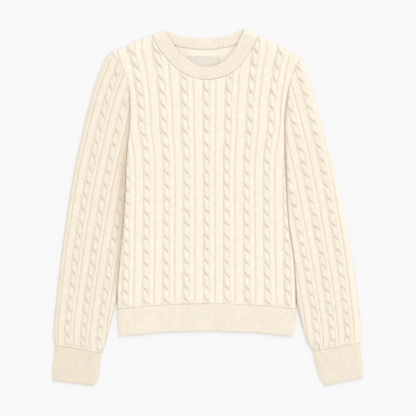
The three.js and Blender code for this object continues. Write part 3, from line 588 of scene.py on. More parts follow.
def body_height(x, y, inset):
    """Height of the front over the surface, level in the middle and rounded down at its edges."""
    top = cloth_size("body_height")
    sides = side_rise(x - body_left(y), y, top, inset) * side_rise(body_right(y) - x, y, top, inset)
    shoulder = rounded(shoulder_line(x) - y - inset, SHOULDER_ROLL - inset)
    return SEAM_Z + (top - inset - SEAM_Z) * sides * shoulder


def spread(count, closer):
    """Shares from 0 to 1, set closer together towards both ends."""
    even = np.linspace(0, 1, count)
    return even - closer * np.sin(2 * np.pi * even) / (2 * np.pi)


# Columns keep their place in the cables as far out as this many cables, at this share of the count
LEVEL_CABLES = 3.3
LEVEL_SHARE = 0.8


def body_grid(neck_seam, rows, columns, inset):
    """Places of a panel's points, rows from its upper edge down to the hem's seam.

    Columns follow the cables in the middle and spread evenly from there to the sides.
    """
    down = np.linspace(0, 1, rows)[:, None]
    share = np.linspace(-1, 1, columns)[None, :]
    outside = np.clip((np.abs(share) - LEVEL_SHARE) / (1 - LEVEL_SHARE), 0, 1)

    def at(y):
        apart = cable_spacing(y)
        draw_in = inset * mix(1, OPEN_INSET, armhole(y))
        to_edge = np.where(
            share < 0, MIDDLE_X - body_left(y) - draw_in, body_right(y) - draw_in - MIDDLE_X
        )
        level = np.minimum(np.abs(share) / LEVEL_SHARE, 1) * LEVEL_CABLES * apart
        return MIDDLE_X + np.sign(share) * mix(level, to_edge, outside)

    top = settle(300.0, lambda y: upper_edge(at(y), neck_seam) - inset)
    bottom = settle(-190.0, lambda y: hem_line(HEM_SEAM, at(y)))
    y = mix(top, bottom, down)
    slope = np.gradient(top[0]) / np.gradient(at(top)[0])
    return at(y), y, (top - y) / np.sqrt(1 + slope**2)


FRONT_STRIDE = 4
BACK_STRIDE = 4


def front_panel():
    """The front: body height, soft waves and nine columns of rope cable.

    The rows bow up in the middle by the square of the distance in cables. The knitting fades
    out over the last millimetres at the sides and sinks into the seam at the neck.
    """
    rows, columns = 88 * FRONT_STRIDE + 1, 62 * FRONT_STRIDE + 1
    x, y, drop = body_grid(neck_front, rows, columns, 0)
    apart = cable_spacing(y)
    cables = (x - MIDDLE_X) / apart
    level = settle(y, lambda value: y + row_bow(value) * cables**2, turns=6)
    relief, hollow_shade, wales = cable_knit(cables, level, apart, front_lobes)
    edge = np.minimum(x - body_left(y), body_right(y) - x)
    over_hem = y - hem_line(HEM_SEAM, x)
    fade = ease(edge / 3.5) * mix(0.35, 1, ease(drop / 6)) * mix(0.1, 1, ease(over_hem / 7))
    linking = 0.5 * bell(drop - 4.2, 0.9)
    z = body_height(x, y, 0) + relief * fade + linking
    z += cloth_size("waves") * soft_noise(x, y, 85, 3) * ease(edge / 40)
    outer = stacked(x, y, z)
    x, y, _ = body_grid(neck_front, rows, columns, WALL)
    inner = stacked(x, y, body_height(x, y, WALL))
    # Painted shade along each side below the armpit, where the body meets the sleeve
    side_shade = 0.9 * bell(edge, 1.0) * (1 - armhole(outer[..., 1]))
    return Cloth(outer, inner, FRONT_STRIDE, wales, np.clip(hollow_shade * fade + side_shade, 0, 1))


def back_panel():
    """The back: level cloth on the surface, its upper face the inside of the garment."""
    rows, columns = 40 * BACK_STRIDE + 1, 30 * BACK_STRIDE + 1
    x, y, _ = body_grid(neck_back, rows, columns, 0)
    outer = stacked(x, y, WALL)
    wales = stacked(x / WALE, y / COURSE)
    x, y, _ = body_grid(neck_back, rows, columns, BACK_INSET)
    inner = stacked(x, y, 0)
    return Cloth(outer, inner, BACK_STRIDE, wales, np.zeros(x.shape))


# Hem rib

HEM_RIBS = 85
HEM_STEPS = 8
HEM_STRIDE = 4
HEM_RIB_RISE = 0.5
# Share of the painted shade colour mixed in evenly all over the hem
HEM_SHADE = 0.1
HEM_WAVE = 1.6
HEM_LIP = 1.3
HEM_DEPTH = 53

# The hem's lower corners draw in from this share of its depth, at this rate in mm to its depth
HEM_CORNER_FROM = 0.9
HEM_CORNER = 7

# How far from its end a rib rounds over
LIP_ROLL = 3.0


def hem_y(x, down):
    """Height of a place on the hem, at a share of its depth."""
    return mix(hem_line(HEM_SEAM, x) - SEAM_GAP, hem_line(HEM_EDGE, x), down)


def hem_grid(rows, columns, inset):
    """Places of the hem's points, at shares of its width and of its depth."""
    down = np.linspace(0, 1, rows)[:, None]
    across = np.linspace(0, 1, columns)[None, :]
    corner = HEM_CORNER * np.maximum(down - HEM_CORNER_FROM, 0) + inset
    left = settle(-170.0, lambda x: body_left(hem_y(x, down))) + corner
    right = settle(170.0, lambda x: body_right(hem_y(x, down))) - corner
    x = mix(left, right, across)
    return x, hem_y(x, down), x - left + inset, right + inset - x


def hem_wave(x, y, down):
    """Soft ripples of the hem, which grow towards its lower edge: three slanting sine waves."""
    slant = x - 0.25 * (y + 200)
    swing = np.sin(2 * np.pi * (slant - 36) / 86) + 0.5 * np.sin(2 * np.pi * (slant + 20) / 57)
    return HEM_WAVE * swing / 1.5 * ease(down * 1.2)


def front_hem_rib():
    """The front hem: ribs down it, soft ripples, and a lower edge that rounds over."""
    rows, columns = 7 * HEM_STRIDE + 1, HEM_RIBS * HEM_STEPS + 1
    count = np.linspace(0, HEM_RIBS, columns)[None, :]

    def height(inset):
        x, y, from_left, from_right = hem_grid(rows, columns, inset)
        down = np.linspace(0, 1, rows)[:, None]
        top = mix(cloth_size("body_height"), HEM_TOP, down) - inset
        roll = cloth_size("side_roll") - inset
        sides = rounded(from_left - inset, roll) * rounded(from_right - inset, roll)
        z = SEAM_Z + (top - SEAM_Z) * sides
        return x, y, z + hem_wave(x, y, down) * sides, sides, down

    x, y, z, sides, down = height(0)
    rib = rib_knit(count) * ease((1 - down) / 0.05) * mix(0.3, 1, ease(down / 0.06))
    lip = HEM_LIP * (1 - rounded((1 - down) * HEM_DEPTH, LIP_ROLL))
    seam_dip = 0.2 * bell(down, 0.035)
    outer = stacked(x, y, z + (HEM_RIB_RISE * rib - lip - seam_dip) * sides)
    xi, yi, zi, _, _ = height(WALL)
    inner = stacked(xi, yi, zi)
    wales = stacked(count, y / COURSE)
    # Painted shade between the ribs and along the seam
    hollow_shade = np.clip(1 - rib_knit(count), 0, 1) * 0.2 + 0.1 * bell(down, 0.03)
    return Cloth(outer, inner, HEM_STRIDE, wales, HEM_SHADE + hollow_shade * sides)


def back_hem_rib():
    """The back hem: level on the surface, ribbed on its inside."""
    rows, columns = 4 * BACK_STRIDE + 1, HEM_RIBS * BACK_STRIDE + 1
    count = np.linspace(0, HEM_RIBS, columns)[None, :]
    x, y, _, _ = hem_grid(rows, columns, 0)
    outer = stacked(x, y, WALL - HEM_RIB_RISE * (1 - rib_knit(count)))
    wales = stacked(count, y / COURSE)
    xi, yi, _, _ = hem_grid(rows, columns, BACK_INSET)
    inner = stacked(xi, yi, 0)
    # Painted shade between the ribs
    return Cloth(outer, inner, BACK_STRIDE, wales, np.broadcast_to(1 - rib_knit(count), x.shape))


# Sleeves and cuffs: cloth folded flat round its outer edge, with its seam along the inner one

SLEEVE_STRIDE = 4
SLEEVE_UNDER = 24
SLEEVE_UPPER = 88
SLEEVE_ROWS = 92
# Painted shade over all of each sleeve, more on the left one, which lies away from the light
SLEEVE_SHADE = {LEFT: 0.16, RIGHT: 0.06}
sleeve_slope = through(SLEEVE_SLOPE)


def fold_shares(under, upper):
    """Shares of a folded piece's width, -1 to 0 on the layer below and 0 to 1 on the one above."""
    below = -((np.linspace(1, 0, under + 1)[:-1]) ** 1.5)
    above = spread(upper + 1, 0.3)
    return np.concatenate([below, above])[None, :]


def fold_height(span, width, top, inset, below, opening):
    """Height of a folded piece: a low round below the fold, a higher one above it and at the seam.

    `opening` is 1 where the seam lies open along the armhole, and there it starts higher.
    """
    roll = cloth_size("fold_roll") - inset
    seam_roll = cloth_size("sleeve_roll") - inset
    under = SEAM_Z * (1 - rounded(span, UNDER_ROLL))
    if inset:
        under = np.maximum(under, WALL)
    full = top - inset - SEAM_Z
    at_seam = opening * np.maximum(ARM_SEAM_Z - inset - SEAM_Z, 0) / full
    seam_side = at_seam + (1 - at_seam) * rounded(width - span, seam_roll)
    above = SEAM_Z + full * rounded(span, roll) * seam_side
    return np.where(below, under, above)


def sleeve_grid(side, rows, shares, inset):
    """Places of a sleeve's points, on lines that slope down from its fold to its inner edge."""
    fold_table, free_table = SLEEVE_FOLD[side], SLEEVE_FREE[side]
    fold, free = through(fold_table), through(free_table)
    body = body_left if side == LEFT else body_right

    def edge(y):
        at_body = side * body(y) + ARM_GAP
        leaving = np.maximum(at_body, side * free(y))
        return side * np.where(y > free_table[0][0], at_body, leaving)

    fold_y = np.linspace(fold_table[0][0] - 3, fold_table[-1][0], rows)[:, None]
    fold_x = fold(fold_y)
    slope = sleeve_slope(fold_y)
    edge_y = settle(fold_y, lambda y: fold_y - slope * np.abs(edge(y) - fold_x), 60)
    edge_x = edge(edge_y)
    opening = beside(edge_y)
    whole = np.hypot(edge_x - fold_x, edge_y - fold_y)
    below = shares < 0
    at_fold = np.minimum(inset, whole / 4)
    at_edge = np.where(below, 0, np.minimum(inset * mix(1, OPEN_INSET, armhole(edge_y)), whole / 4))
    width = whole - at_fold - at_edge
    span = np.abs(shares) * width
    share = (at_fold + span) / whole
    x = mix(fold_x, edge_x, share)
    y = mix(fold_y, edge_y, share)
    return x, y, fold_y, span, width, below, opening


def sleeve(side):
    """A sleeve: cables counted in from its fold, on rows that slope down towards the body."""
    rows = SLEEVE_ROWS * SLEEVE_STRIDE + 1
    shares = fold_shares(SLEEVE_UNDER, SLEEVE_UPPER)
    top = cloth_size("sleeve_height")
    x, y, fold_y, span, width, below, opening = sleeve_grid(side, rows, shares, 0)
    first, apart = (through(SLEEVE_CABLE[side], 0, k)(fold_y) for k in (1, 2))
    cables = -side * (span - first) / apart
    straight, curved = SLEEVE_ROW_FALL[side]
    level = y + straight * span + curved * span**2
    relief, hollow_shade, wales = cable_knit(cables, level, apart, through(SLEEVE_LOBES[side]))
    fade = ease(span / 9) * ease((width - span) / 3)
    ends = ease(np.linspace(0, 1, rows) * 60) * ease(np.linspace(1, 0, rows) * 60)
    fade = np.where(below, 0, fade) * ends[:, None]
    z = fold_height(span, width, top, 0, below, opening) + relief * fade
    waves = cloth_size("waves")
    middle = np.where(below, 0, ease(span / 30) * ease((width - span) / 30))
    z += waves * soft_noise(x, y, 80, 11 + side) * middle
    outer = stacked(x, y, z)
    # Painted shadow of the body's edge along the sleeve's inner edge, with the painted shade of the
    # whole sleeve and of its creases
    valley = np.clip(1 - (width - span) / through(SLEEVE_SHADOW[side])(y), 0, 1)
    shown = SLEEVE_SHADE[side] + hollow_shade * fade + valley
    tone = np.clip(np.where(below, SLEEVE_SHADE[side], shown), 0, 1)
    plain = stacked(span / WALE, fold_y / COURSE)
    wales = np.where(below[..., None], plain, wales)
    x, y, fold_y, span, width, below, opening = sleeve_grid(side, rows, shares, WALL)
    z = fold_height(span, width, top, WALL, below, opening)
    inner = stacked(x, y, z)
    cloth = Cloth(outer, inner, SLEEVE_STRIDE, wales, tone)
    return cloth.mirrored() if side == RIGHT else cloth


CUFF_RIBS = 23
CUFF_STEPS = 8
CUFF_UNDER = 24
CUFF_ROWS = 36
CUFF_STRIDE = 4
CUFF_RIB_RISE = 0.55
# Painted shade over all of each cuff, more on the left one, which lies away from the light
CUFF_SHADE = {LEFT: 0.32, RIGHT: 0.2}
CUFF_LIP = 1.2
CUFF_DEPTH = 66

# How fast a cuff sinks from its seam to its end: the power of the share down it
CUFF_FALL = 0.7


def cuff(side):
    """A cuff: ribs down it, folded round its outer edge, with an end that rounds over."""
    down = np.linspace(0, 1, CUFF_ROWS + 1)[:, None]
    outer_x, outer_y, inner_x, inner_y = (
        through(CUFF_EDGES[side], 0, k)(down) for k in (1, 2, 3, 4)
    )
    top = cloth_size("sleeve_height")
    below_shares = -np.linspace(1, 0, CUFF_UNDER + 1)[:-1] ** 1.5
    shares = np.concatenate([below_shares, np.linspace(0, 1, CUFF_RIBS * CUFF_STEPS + 1)])[None, :]
    below = shares < 0

    def place(inset):
        whole = np.hypot(inner_x - outer_x, inner_y - outer_y)
        at_edge = np.where(below, 0, inset)
        width = whole - inset - at_edge
        span = np.abs(shares) * width
        share = (inset + span) / whole
        x, y = mix(outer_x, inner_x, share), mix(outer_y, inner_y, share)
        z = fold_height(span, width, mix(top, CUFF_TOP, down**CUFF_FALL), inset, below, 0)
        return x, y, z, span, width

    x, y, z, span, width = place(0)
    count = shares * CUFF_RIBS + 0.5
    fade = np.where(below, 0, ease(span / 4) * ease((width - span) / 4))
    rib = rib_knit(count) * fade * ease((1 - down) / 0.06) * mix(0.3, 1, ease(down / 0.08))
    lip = np.where(below, 0, CUFF_LIP * (1 - rounded((1 - down) * CUFF_DEPTH, LIP_ROLL)) * fade)
    seam_dip = 0.2 * bell(down, 0.03) * fade
    outer = stacked(x, y, z + CUFF_RIB_RISE * rib - lip - seam_dip)
    xi, yi, zi, _, _ = place(WALL)
    inner = stacked(xi, yi, zi)
    wales = stacked(count, y / COURSE)
    # Painted shade between the ribs and along the seam
    hollow_shade = (0.25 * (1 - rib_knit(count)) + 0.1 * bell(down, 0.03)) * fade
    cloth = Cloth(outer, inner, CUFF_STRIDE, wales, CUFF_SHADE[side] + hollow_shade)
    return cloth.mirrored() if side == RIGHT else cloth


# Neckband: a ribbed strip round the neck, folded at both shoulders and joined at the left one

NECK_RIBS_FRONT = 64
NECK_RIBS_BACK = 36
NECK_STEPS = 8
NECK_ROWS = 16
NECK_RIB_RISE = 0.8
NECK_FADE = 0.08
BAND_DEPTH = 25
BAND_SEAM_SHARE = 0.003


def neckband():
    """The crew neckband: ribs across it, raised in front, lying on the surface at the back."""
    front_shares = np.linspace(0, 1, NECK_RIBS_FRONT * NECK_STEPS + 1)
    back_shares = np.linspace(1, 0, NECK_RIBS_BACK * NECK_STEPS + 1)[1:]
    is_front = np.concatenate([front_shares >= 0, back_shares < 0])[None, :]
    share = np.concatenate([front_shares, back_shares])[None, :]
    up = np.linspace(1, BAND_SEAM_SHARE, NECK_ROWS + 1)[:, None]
    columns = share.shape[1]
    join = np.zeros((1, columns))
    join[0, 0], join[0, -1] = LAYER_GAP / 2, -LAYER_GAP / 2
    ribs = np.where(is_front, share * NECK_RIBS_FRONT, share * NECK_RIBS_BACK) + 0.5
    crown = 1.0 * np.sin(np.pi * np.clip(up, 0, 1)) ** 0.6

    def place(inset):
        fx, fy, from_front = front_band(share, up, inset)
        bx, by, from_back = back_band(share, up, inset)
        front_z = SEAM_Z + (BAND_TOP - inset - SEAM_Z) * rounded(from_front, NECK_ROLL - inset)
        back_z = SEAM_Z + ((WALL if inset else 0) - SEAM_Z) * rounded(from_back, UNDER_ROLL)
        x, y = np.where(is_front, fx, bx), np.where(is_front, fy, by)
        z = np.where(is_front, front_z, back_z) + join
        return x, y, z, np.where(is_front, from_front, from_back)

    x, y, z, from_fold = place(0)
    edges = between(up, BAND_SEAM_SHARE, NECK_FADE, 1, NECK_FADE)
    rib = NECK_RIB_RISE * rib_knit(ribs) * edges * ease(from_fold / 5)
    raised = np.where(is_front, rib + crown * ease(from_fold / 10), 0)
    outer = stacked(x, y, z + raised)
    xi, yi, zi, from_fold = place(WALL)
    rib = NECK_RIB_RISE * rib_knit(ribs) * edges * ease(from_fold / 5)
    lifted = np.where(is_front, 0, rib + crown * ease(from_fold / 10))
    fine_inner = stacked(xi, yi, zi + lifted)
    wales = stacked(ribs, up * BAND_DEPTH / COURSE)
    # Painted shade between the ribs and along the seam
    hollow_shade = (1 - rib_knit(ribs)) * 0.35 + 0.1 * bell(up - BAND_SEAM_SHARE, 0.06)
    return Cloth(outer, fine_inner, 1, wales, hollow_shade * np.ones(x.shape))


def neck_label():
    """The bare label: a rounded rectangle of woven cloth that sags a little, on a fine grid."""
    rows, columns = 41, 65
    across = np.linspace(0, 1, columns)[None, :]
    down = np.linspace(0, 1, rows)[:, None]
    y = mix(LABEL["top"], LABEL["bottom"], down) + 0 * across
    from_end = np.minimum(LABEL["top"] - y, y - LABEL["bottom"])
    corner = LABEL["corner"]
    cut = corner - np.sqrt(np.maximum(corner**2 - np.maximum(corner - from_end, 0) ** 2, 0))
    x = mix(LABEL["left"] + cut, LABEL["right"] - cut, across)
    lift = 0.5 * soft_noise(x, y, 60, 5) + 0.5
    z = SEAM_Z + LABEL_THICK + lift * ease(from_end / 10)
    outer = stacked(x, y, z)
    inner = stacked(x, y, z - LABEL_THICK)
    wales = stacked(x / TAPE_THREAD, y / TAPE_THREAD)
    return Cloth(outer, inner, 1, wales, np.zeros(x.shape))


# Finishes

# How much a yarn's value changes with its mottle
SHADE_CHANGE = 0.14


def fill(tree, made, inputs):
    """Gives a node's named or numbered inputs their values, or links them to other outputs."""
    for key, value in inputs.items():
        if isinstance(value, bpy.types.NodeSocket):
            tree.links.new(value, made.inputs[key])
        else:
            made.inputs[key].default_value = value


def node(tree, kind, inputs=None, **properties):
    """A shader node with its properties and its inputs."""
    made = tree.nodes.new(kind)
    for name, value in properties.items():
        setattr(made, name, value)
    fill(tree, made, inputs or {})
    return made


def math_node(tree, operation, *inputs):
    """Output of a Math node whose inputs are numbers or other nodes' outputs."""
    return node(tree, "ShaderNodeMath", dict(enumerate(inputs)), operation=operation).outputs[0]


def knitting_counts(tree):
    """The wale and course counts of the UV map."""
    uv = node(tree, "ShaderNodeUVMap", uv_map="knitting")
    return node(tree, "ShaderNodeSeparateXYZ", {0: uv.outputs[0]}).outputs[:2]


def new_group(name, inputs, outputs):
    """A shader node group with named inputs (name, kind, default) and outputs (name, kind).

    Gives its tree, what its inputs give inside it, and the node of its outputs.
    """
    tree = bpy.data.node_groups.new(name, "ShaderNodeTree")
    for label, kind, default in inputs:
        socket = tree.interface.new_socket(label, in_out="INPUT", socket_type=kind)
        socket.default_value = default
    for label, kind in outputs:
        tree.interface.new_socket(label, in_out="OUTPUT", socket_type=kind)
    given = node(tree, "NodeGroupInput", location=(-900, 0))
    return tree, given.outputs, node(tree, "NodeGroupOutput", location=(900, 0))


def stitch_group():
    """Height of knit stitches, from the wale and course counts of the UV map.

    Each wale is rounded across, and its V of two legs is a sine wave along the courses that is
    pulled back towards the wale's sides. Gives the height, 0 to 1.
    """
    tree, given, out = new_group(
        "knit stitches",
        [("Leg slant", "NodeSocketFloat", 0.9), ("Leg depth", "NodeSocketFloat", 0.45)],
        [("Height", "NodeSocketFloat")],
    )
    wale, course = knitting_counts(tree)
    from_middle = math_node(tree, "PINGPONG", wale, 0.5)
    doubled = math_node(tree, "MULTIPLY", from_middle, 2)
    rounding = math_node(tree, "SUBTRACT", 1, math_node(tree, "POWER", doubled, 2.4))
    slant = math_node(tree, "MULTIPLY", doubled, given["Leg slant"])
    along = math_node(tree, "MULTIPLY", math_node(tree, "ADD", course, slant), 2 * np.pi)
    wave = math_node(tree, "MULTIPLY", math_node(tree, "SINE", along), 0.5)
    leg = math_node(tree, "ADD", wave, 0.5)
    depth = given["Leg depth"]
    flat_part = math_node(tree, "MULTIPLY", rounding, math_node(tree, "SUBTRACT", 1, depth))
    leg_part = math_node(tree, "MULTIPLY", leg, depth)
    fill(tree, out, {"Height": math_node(tree, "ADD", flat_part, leg_part)})


def wool_group():
    """Soft unevenness of woollen yarn: its fuzz as a height, and a mottle of its shade.

    Fuzz is fine noise a little under a millimetre across, mottle is noise of about a centimetre.
    """
    tree, given, out = new_group(
        "wool yarn",
        [("Fuzz size", "NodeSocketFloat", 1100.0), ("Mottle size", "NodeSocketFloat", 90.0)],
        [("Fuzz", "NodeSocketFloat"), ("Mottle", "NodeSocketFloat")],
    )
    place = node(tree, "ShaderNodeTexCoord").outputs["Object"]
    for name, detail, roughness in (("Fuzz", 3.0, 0.65), ("Mottle", 2.0, 0.5)):
        noise = node(tree, "ShaderNodeTexNoise", {
            "Vector": place, "Scale": given[f"{name} size"],
            "Detail": detail, "Roughness": roughness,
        })
        fill(tree, out, {name: noise.outputs[0]})


def shade_group():
    """Colour of yarn, a little uneven by its mottle, with painted shade: mixed by its depth towards
    a darker, warmer colour in hollows.
    """
    tree, given, out = new_group(
        "yarn shade",
        [
            ("Yarn", "NodeSocketColor", (0.8, 0.8, 0.8, 1)),
            ("Hollow", "NodeSocketColor", (0.5, 0.5, 0.5, 1)),
            ("Depth", "NodeSocketFloat", 0.0),
            ("Unevenness", "NodeSocketFloat", 0.5),
        ],
        [("Colour", "NodeSocketColor")],
    )
    colours = {"Factor": given["Depth"], 6: given["Yarn"], 7: given["Hollow"]}
    deep = node(tree, "ShaderNodeMix", colours, data_type="RGBA")
    change = math_node(tree, "SUBTRACT", given["Unevenness"], 0.5)
    value = math_node(tree, "ADD", math_node(tree, "MULTIPLY", change, SHADE_CHANGE), 1)
    tint = node(tree, "ShaderNodeHueSaturation", {
        "Hue": 0.5, "Saturation": 1.0, "Fac": 1.0, "Value": value, "Color": deep.outputs[2]
    })
    fill(tree, out, {"Colour": tint.outputs[0]})


def shaded_material(name, yarn, specular, roughness):
    """A material in the mottled shade of a yarn, whose roughness is (change by fuzz, least).

    Gives its tree, its shader, the node of its shade and the height of its fuzz.
    """
    made = bpy.data.materials.new(name)
    made.use_nodes = True
    tree = made.node_tree
    shader = tree.nodes["Principled BSDF"]
    groups = bpy.data.node_groups
    wool = node(tree, "ShaderNodeGroup", node_tree=groups["wool yarn"]).outputs
    colour = {"Yarn": (*yarn, 1), "Unevenness": wool["Mottle"]}
    shade = node(tree, "ShaderNodeGroup", colour, node_tree=groups["yarn shade"])
    fill(tree, shader, {
        "Base Color": shade.outputs[0], "Specular IOR Level": specular,
        "Roughness": math_node(tree, "MULTIPLY_ADD", wool["Fuzz"], *roughness),
    })
    return tree, shader, shade, wool["Fuzz"]


def wool_material(name, yarn, hollow_shade, stitch_height, leg_depth):
    """Woollen yarn: matt with a soft sheen, stitches and fuzz as bumps, and painted shade that
    makes hollows darker and warmer.
    """
    tree, shader, shade, fuzz = shaded_material(name, yarn, 0.15, (0.1, 0.86))
    depth = node(tree, "ShaderNodeAttribute", attribute_name="hollow_shade")
    fill(tree, shade, {"Hollow": (*hollow_shade, 1), "Depth": depth.outputs["Fac"]})
    group = bpy.data.node_groups["knit stitches"]
    stitches = node(tree, "ShaderNodeGroup", {"Leg depth": leg_depth}, node_tree=group)
    yarn_bump = node(tree, "ShaderNodeBump", {
        "Strength": 1.0, "Distance": stitch_height, "Height": stitches.outputs["Height"]
    })
    fuzz_bump = node(tree, "ShaderNodeBump", {
        "Strength": 0.7, "Distance": 0.0006, "Height": fuzz, "Normal": yarn_bump.outputs[0]
    })
    fill(tree, shader, {
        "Sheen Weight": 0.25, "Sheen Roughness": 0.5, "Normal": fuzz_bump.outputs[0]
    })


def label_material(colour):
    """Plain woven tape: fine threads both ways as a bump."""
    tree, shader, _, _ = shaded_material("label_tape", colour, 0.3, (0.15, 0.6))
    across, along = (
        math_node(tree, "SINE", math_node(tree, "MULTIPLY", count, 2 * np.pi))
        for count in knitting_counts(tree)
    )
    bump = node(tree, "ShaderNodeBump", {
        "Strength": 0.5, "Distance": 0.0002, "Height": math_node(tree, "MULTIPLY", across, along)
    })
    fill(tree, shader, {"Normal": bump.outputs[0]})


# Settings

def length_property(name, description, default):
    """A setting in metres."""
    return FloatProperty(
        name=name, description=description, default=default, subtype="DISTANCE", unit="LENGTH"
    )


def colour_property(name, description, default):
    """A setting that holds a colour."""
    return FloatVectorProperty(
        name=name, description=description, subtype="COLOR", size=3, min=0, max=1, default=default
    )


class SweaterCloth(bpy.types.PropertyGroup):
    body_height: length_property(
        "Body height", "Level face of the front over the surface", 0.0088
    )
    sleeve_height: length_property(
        "Sleeve height", "Level face of a sleeve over the surface", 0.008
    )
    side_roll: length_property(
        "Side roll", "How far in from its sides the body rounds over", 0.009
    )
    sleeve_roll: length_property(
        "Sleeve roll", "How far in from the body a sleeve sinks to its seam", 0.02
    )
    fold_roll: length_property(
        "Fold roll", "How far in from its outer fold a sleeve or cuff rounds over", 0.014
    )
    waves: length_property(
        "Waves", "Height of the soft unevenness of the laid cloth", 0.0007
    )


class SweaterFinish(bpy.types.PropertyGroup):
    cable_yarn: colour_property("Yarn", "Yarn of the body and sleeves", (0.92, 0.845, 0.73))
    # Painted shade: a darker, warmer copy of the yarn, mixed in at creases, grooves and beside the
    # body
    cable_shade: colour_property("Hollows", "The same yarn between cables", (0.72, 0.6, 0.45))
    rib_yarn: colour_property("Rib yarn", "Yarn of the ribs", (0.92, 0.845, 0.73))
    # Painted shade: a darker, warmer copy of the rib yarn, mixed in between ribs and along seams
    rib_shade: colour_property("Rib hollows", "The same between ribs", (0.7, 0.6, 0.46))
    label_tape: colour_property("Label", "Tape of the bare label", (0.79, 0.745, 0.655))


class SweaterStage(bpy.types.PropertyGroup):
    floor: colour_property("Floor", "Plain pale floor", (0.4, 0.4, 0.405))
    floor_glow: FloatProperty(
        name="Floor glow", description="Light of the floor itself, which keeps shadows faint",
        default=0.487,
    )
    view_width: length_property(
        "View width", "Width of the floor in the picture", 0.7904
    )
    key_strength: FloatProperty(
        name="Key light", description="Strength of the soft light from the upper right",
        default=1.03,
    )
    key_angle: FloatProperty(
        name="Key angle", description="How wide the key light is, seen from the garment",
        default=0.9, subtype="ANGLE",
    )
    sky: FloatProperty(name="Sky", description="Strength of the light from all round", default=0.86)


# Operators

class AddFinishes(bpy.types.Operator):
    """Make the knitted and woven finishes"""
    bl_idname = "sweater.add_finishes"
    bl_label = "Finishes"

    def execute(self, context):
        stitch_group()
        wool_group()
        shade_group()
        colours = context.scene.sweater_finish
        wool_material(
            "cable_wool", colours.cable_yarn, colours.cable_shade,
            stitch_height=0.0004, leg_depth=0.4,
        )
        wool_material(
            "rib_wool", colours.rib_yarn, colours.rib_shade, stitch_height=0.0003, leg_depth=0.6
        )
        label_material(colours.label_tape)
        return {"FINISHED"}


class AddBody(bpy.types.Operator):
    """Add the cabled front and the plain back"""
    bl_idname = "sweater.add_body"
    bl_label = "Front and back"

    def execute(self, context):
        back = place_piece("back_panel", back_panel(), "cable_wool")
        place_piece("front_panel", front_panel(), "cable_wool")
        return {"FINISHED"}


class AddHem(bpy.types.Operator):
    """Add the ribbed hem, front and back"""
    bl_idname = "sweater.add_hem"
    bl_label = "Hem ribs"

    def execute(self, context):
        back = place_piece("back_hem_rib", back_hem_rib(), "rib_wool")
        place_piece("front_hem_rib", front_hem_rib(), "rib_wool")
        return {"FINISHED"}


class AddSleeves(bpy.types.Operator):
    """Add both sleeves, folded flat"""
    bl_idname = "sweater.add_sleeves"
    bl_label = "Sleeves"

    def execute(self, context):
        for name, side in (("sleeve_left", LEFT), ("sleeve_right", RIGHT)):
            place_piece(name, sleeve(side), "cable_wool")
        return {"FINISHED"}


class AddCuffs(bpy.types.Operator):
    """Add both ribbed cuffs, folded flat"""
    bl_idname = "sweater.add_cuffs"
    bl_label = "Cuffs"

    def execute(self, context):
        for name, side in (("cuff_left", LEFT), ("cuff_right", RIGHT)):
            place_piece(name, cuff(side), "rib_wool")
        return {"FINISHED"}


class AddNeck(bpy.types.Operator):
    """Add the ribbed neckband and the bare label inside it"""
    bl_idname = "sweater.add_neck"
    bl_label = "Neckband and label"

    def execute(self, context):
        place_piece("neckband", neckband(), "rib_wool")
        place_piece(
            "neck_label", neck_label(), "label_tape"
        )
        return {"FINISHED"}


FLOOR_REACH = 6.0
FLOOR_DROP = 0.0002
LAMP_PLACE = (0.7, 0.9, 1.5)
AIM_AT = (0.285, -1.14, 6.0)


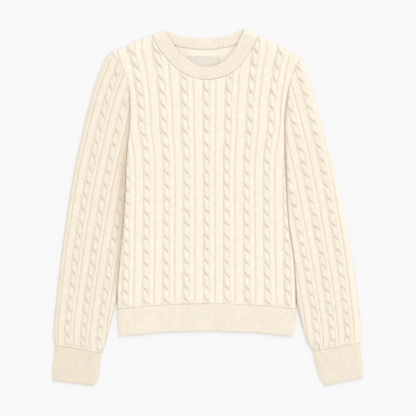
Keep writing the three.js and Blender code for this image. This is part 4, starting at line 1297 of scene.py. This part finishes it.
class AddStage(bpy.types.Operator):
    """Add the pale floor, the soft lights and the camera straight above"""
    bl_idname = "sweater.add_stage"
    bl_label = "Stage"

    def execute(self, context):
        scene = context.scene
        settings = scene.sweater_stage
        mesh = bpy.data.meshes.new("floor")
        turns = ((-1, -1), (1, -1), (1, 1), (-1, 1))
        corners = [(x * FLOOR_REACH, y * FLOOR_REACH, 0) for x, y in turns]
        mesh.from_pydata(corners, [], [(0, 1, 2, 3)])
        surface = bpy.data.materials.new("floor_paper")
        surface.use_nodes = True
        shader = surface.node_tree.nodes["Principled BSDF"]
        fill(surface.node_tree, shader, {
            "Base Color": (*settings.floor, 1), "Roughness": 0.9,
            "Emission Color": (1, 1, 1, 1), "Emission Strength": settings.floor_glow,
        })
        mesh.materials.append(surface)
        floor = bpy.data.objects.new("floor", mesh)
        floor.location.z = -FLOOR_DROP
        scene.collection.objects.link(floor)

        world = bpy.data.worlds.new("soft_sky")
        world.use_nodes = True
        background = world.node_tree.nodes["Background"]
        fill(world.node_tree, background, {"Color": (1, 1, 1, 1), "Strength": settings.sky})
        scene.world = world

        key = bpy.data.lights.new("key", "SUN")
        key.energy = settings.key_strength
        key.angle = settings.key_angle
        key.color = (1, 0.985, 0.96)
        lamp = bpy.data.objects.new("key", key)
        lamp.location = LAMP_PLACE
        aim = -lamp.location
        lamp.rotation_euler = aim.to_track_quat("-Z", "Y").to_euler()
        scene.collection.objects.link(lamp)

        lens = bpy.data.cameras.new("above")
        lens.lens = 85
        lens.sensor_width = 36
        camera = bpy.data.objects.new("above", lens)
        aim_at = to_metres(AIM_AT)
        distance = settings.view_width * lens.lens / lens.sensor_width
        camera.location = (aim_at[0], aim_at[1], aim_at[2] + distance)
        scene.collection.objects.link(camera)
        scene.camera = camera
        scene.view_settings.view_transform = "Standard"
        return {"FINISHED"}


class SweaterPanel(bpy.types.Panel):
    """The sweater's settings and steps"""
    bl_idname = "VIEW3D_PT_sweater"
    bl_label = "Cable knit sweater"
    bl_space_type = "VIEW_3D"
    bl_region_type = "UI"
    bl_category = "Sweater"

    def draw(self, context):
        scene = context.scene
        for settings in (scene.sweater_cloth, scene.sweater_finish, scene.sweater_stage):
            box = self.layout.box()
            for name in settings.bl_rna.properties.keys():
                if name not in ("rna_type", "name"):
                    box.prop(settings, name)
        for operator in STEPS:
            self.layout.operator(operator.bl_idname)


STEPS = (AddFinishes, AddBody, AddHem, AddSleeves, AddCuffs, AddNeck, AddStage)
SETTINGS = {
    "sweater_cloth": SweaterCloth,
    "sweater_finish": SweaterFinish,
    "sweater_stage": SweaterStage,
}


def register():
    for made in (*SETTINGS.values(), *STEPS, SweaterPanel):
        bpy.utils.register_class(made)
    for name, made in SETTINGS.items():
        setattr(bpy.types.Scene, name, PointerProperty(type=made))


def unregister():
    for name in SETTINGS:
        delattr(bpy.types.Scene, name)
    for made in (SweaterPanel, *reversed(STEPS), *SETTINGS.values()):
        bpy.utils.unregister_class(made)


def main():
    register()
    for operator in STEPS:
        group, call = operator.bl_idname.split(".")
        getattr(getattr(bpy.ops, group), call)()


if __name__ == "__main__":
    main()
